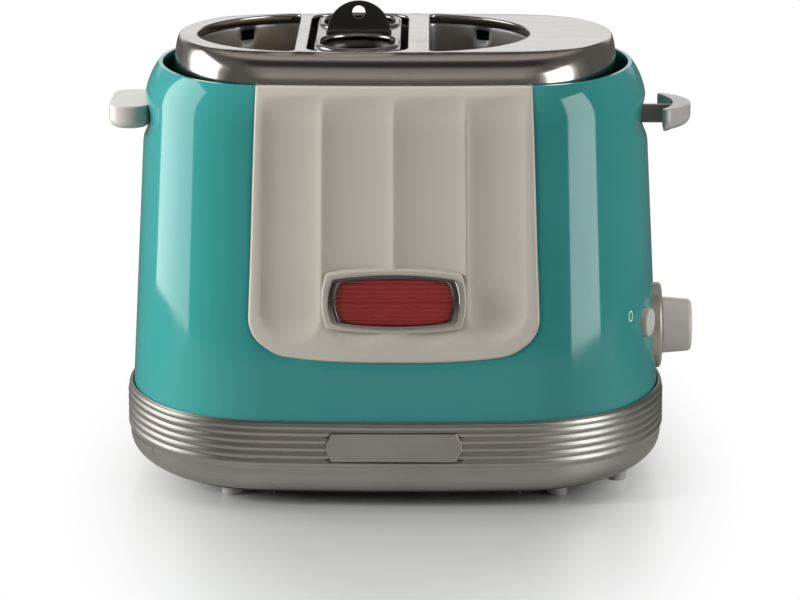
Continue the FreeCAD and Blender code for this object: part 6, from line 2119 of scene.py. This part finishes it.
@dataclass
class Studio:
    """The pale floor, the white surround, the softboxes and the camera."""

    place: Triple = (0.0135, -1.9, 0.530)
    pitch: float = 13.248
    yaw: float = 0.45
    lens: float = 174.48
    floor_rings: tuple[float, ...] = (500, 400, 300, 200, 100)
    floor_edge: float = 620.0
    floor_tones: tuple[Colour, Colour] = ((0.50, 0.50, 0.485, 1), (0.535, 0.535, 0.52, 1))
    floor_fade: tuple[float, float] = (0.16, 0.37)
    mirrored: tuple[Colour, Colour] = ((0.46, 0.455, 0.44, 1), (0.10, 0.098, 0.095, 1))
    soft: tuple[Colour, Colour] = ((0.08, 0.08, 0.08, 1), (0.62, 0.62, 0.62, 1))
    room_ends: Colour = (0.12, 0.115, 0.11, 1)
    white: Colour = (1, 1, 1, 1)
    band_stops: tuple[tuple[float, float], ...] = (
        (-180, 0.12), (-90, 0.10), (1, 0.12), (7.5, 1.0), (17, 1.0), (25, 0.05), (37, 0.045), (50, 0.33),
        (66, 0.47), (80, 0.03), (100, 0.025), (114, 0.30), (146, 0.40), (162, 0.15), (180, 0.12),
    )
    band_warmth: float = 0.93
    boxes: tuple[Softbox, ...] = (
        Softbox("box_left", (-0.787, 0.146, 0.33), (0, 0, 0.33), (0.60, 0.76), 4.4, True, 0.45),
        Softbox("box_right", (0.725, -0.338, 0.33), (0, 0, 0.33), (0.41, 0.76), 4.4, True, 0.45),
        Softbox("key", (-1.9, -0.72, 0.8), (0, 0, 0.11), (0.5, 0.9), 54),
        Softbox("top", (0.0, 0.3, 1.7), (0, 0, 0.11), (1.4, 1.0), 13.5),
    )

    def floor_material(self) -> Material:
        """Build the floor's finish, which fades to white for the camera away from the object.

        Returns:
            The finish.
        """
        material = bpy.data.materials.new("pale_floor")
        material.use_nodes = True
        tree = Tree(material.node_tree)
        shader, leave = tree.of_type("BSDF_PRINCIPLED"), tree.of_type("OUTPUT_MATERIAL")
        where = tree.add("TexCoord").outputs["Object"]
        cloud = tree.noise(where, 9.0, 4.0)
        tree.feed(shader.inputs["Base Color"], tree.mix(cloud, *self.floor_tones))
        tree.feed(shader.inputs["Roughness"], tree.ramp(cloud, 0.3, 0.7, 0.20, 0.28))
        squashed = tree.add("VectorMath", {0: where, 1: (2.1, 0.85, 1.0)}, operation="MULTIPLY").outputs[0]
        span = tree.add("VectorMath", {0: squashed}, operation="LENGTH").outputs["Value"]
        white, glossy = tree.seen()
        away = tree.ramp(span, *self.floor_fade)
        share = tree.maths("MULTIPLY", away, tree.maths("MAXIMUM", white, glossy))
        rear = tree.ramp(tree.add("SeparateXYZ", {0: where}).outputs[1], -0.05, 0.15)
        tone = tree.mix(glossy, self.white, tree.mix(rear, *self.mirrored))
        glow = tree.add("Emission", {"Color": tone, "Strength": 1.0})
        blend = tree.add("MixShader", {0: share, 1: shader.outputs[0], 2: glow.outputs[0]})
        tree.feed(leave.inputs["Surface"], blend.outputs[0])
        return material

    def floor(self) -> None:
        """Lay the floor as rings round a middle disc."""
        rings = [circle(radius).at(0) for radius in (self.floor_edge, *self.floor_rings)]
        grid = np.stack([np.pad(ring, ((0, 0), (0, 1))) for ring in rings])
        surface = Surface().wall(grid).lid(grid[-1])
        mesh = bpy.data.meshes.new("floor")
        mesh.from_pydata((np.concatenate(surface.points) * MM).tolist(), [], surface.faces)
        mesh.materials.append(self.floor_material())
        linked("floor", mesh)

    def bands(self, tree: Tree, share: Socket) -> Socket:
        """Colour the room by the angle over the object, from the back's horizon to the front's.

        Args:
            tree: The world's tree.
            share: The angle as a share of a full turn.

        Returns:
            The room's colour.
        """
        node = tree.add("ValToRGB", {0: share})
        ramp = node.color_ramp
        ramp.interpolation = "EASE"
        while len(ramp.elements) < len(self.band_stops):
            ramp.elements.new(0.5)
        for element, (angle, _) in zip(ramp.elements, self.band_stops):
            element.position = (angle + 180) / 360
        for element, (_, light) in zip(ramp.elements, self.band_stops):
            warm = 1 if light > 0.9 else self.band_warmth
            element.color = (light, light * warm, light * warm * warm, 1)
        return node.outputs[0]

    def surround(self) -> None:
        """Make the world white for the camera, and a soft grey room with a pale back for gloss."""
        world = bpy.data.worlds.new("studio")
        bpy.context.scene.world = world
        world.use_nodes = True
        tree = Tree(world.node_tree)
        shade, leave = tree.of_type("BACKGROUND"), tree.of_type("OUTPUT_WORLD")
        x, y, z = tree.add("SeparateXYZ", {0: tree.add("TexCoord").outputs["Generated"]}).outputs
        turn = tree.maths("MULTIPLY_ADD", tree.maths("ARCTAN2", z, y), 0.5 / math.pi, 0.5)
        edge = tree.ramp(tree.maths("ABSOLUTE", x), 0.28, 0.6)
        room = tree.mix(edge, self.bands(tree, turn), self.room_ends)
        soft = tree.mix(tree.ramp(y, -0.4, 0.5), *self.soft)
        white, glossy = tree.seen()
        tone = tree.mix(white, tree.mix(glossy, soft, room), self.white)
        tree.feed(shade.inputs["Color"], tone)
        tree.feed(shade.inputs["Strength"], 1.0)
        tree.feed(leave.inputs["Surface"], shade.outputs[0])

    def build(self) -> None:
        """Build the stage, hang the lights and set the camera."""
        self.floor()
        self.surround()
        for box in self.boxes:
            box.hang()
        data = bpy.data.cameras.new("camera")
        data.lens, data.sensor_width, data.clip_end = self.lens, 36.0, 50.0
        camera = linked("camera", data)
        camera.location = self.place
        camera.rotation_euler = (math.radians(90 - self.pitch), 0, math.radians(self.yaw))
        scene = bpy.context.scene
        scene.camera = camera
        scene.view_settings.view_transform = "Standard"


def main() -> None:
    """Build every sub-assembly in order, then the studio."""
    logging.basicConfig(level=logging.INFO, format="%(name)s %(message)s", stream=sys.stdout)
    outside = (Shell(), Panel(), Badge(), Skirt(), Cover(), Wells(), Basket(), Handles(), Controls())
    for assembly in (*outside, Underside(), Springs(), Inside()):
        pieces = assembly.build()
        LOG.info("%s: %d pieces", type(assembly).__name__, len(pieces))
    Studio().build()


if __name__ == "__main__":
    main()
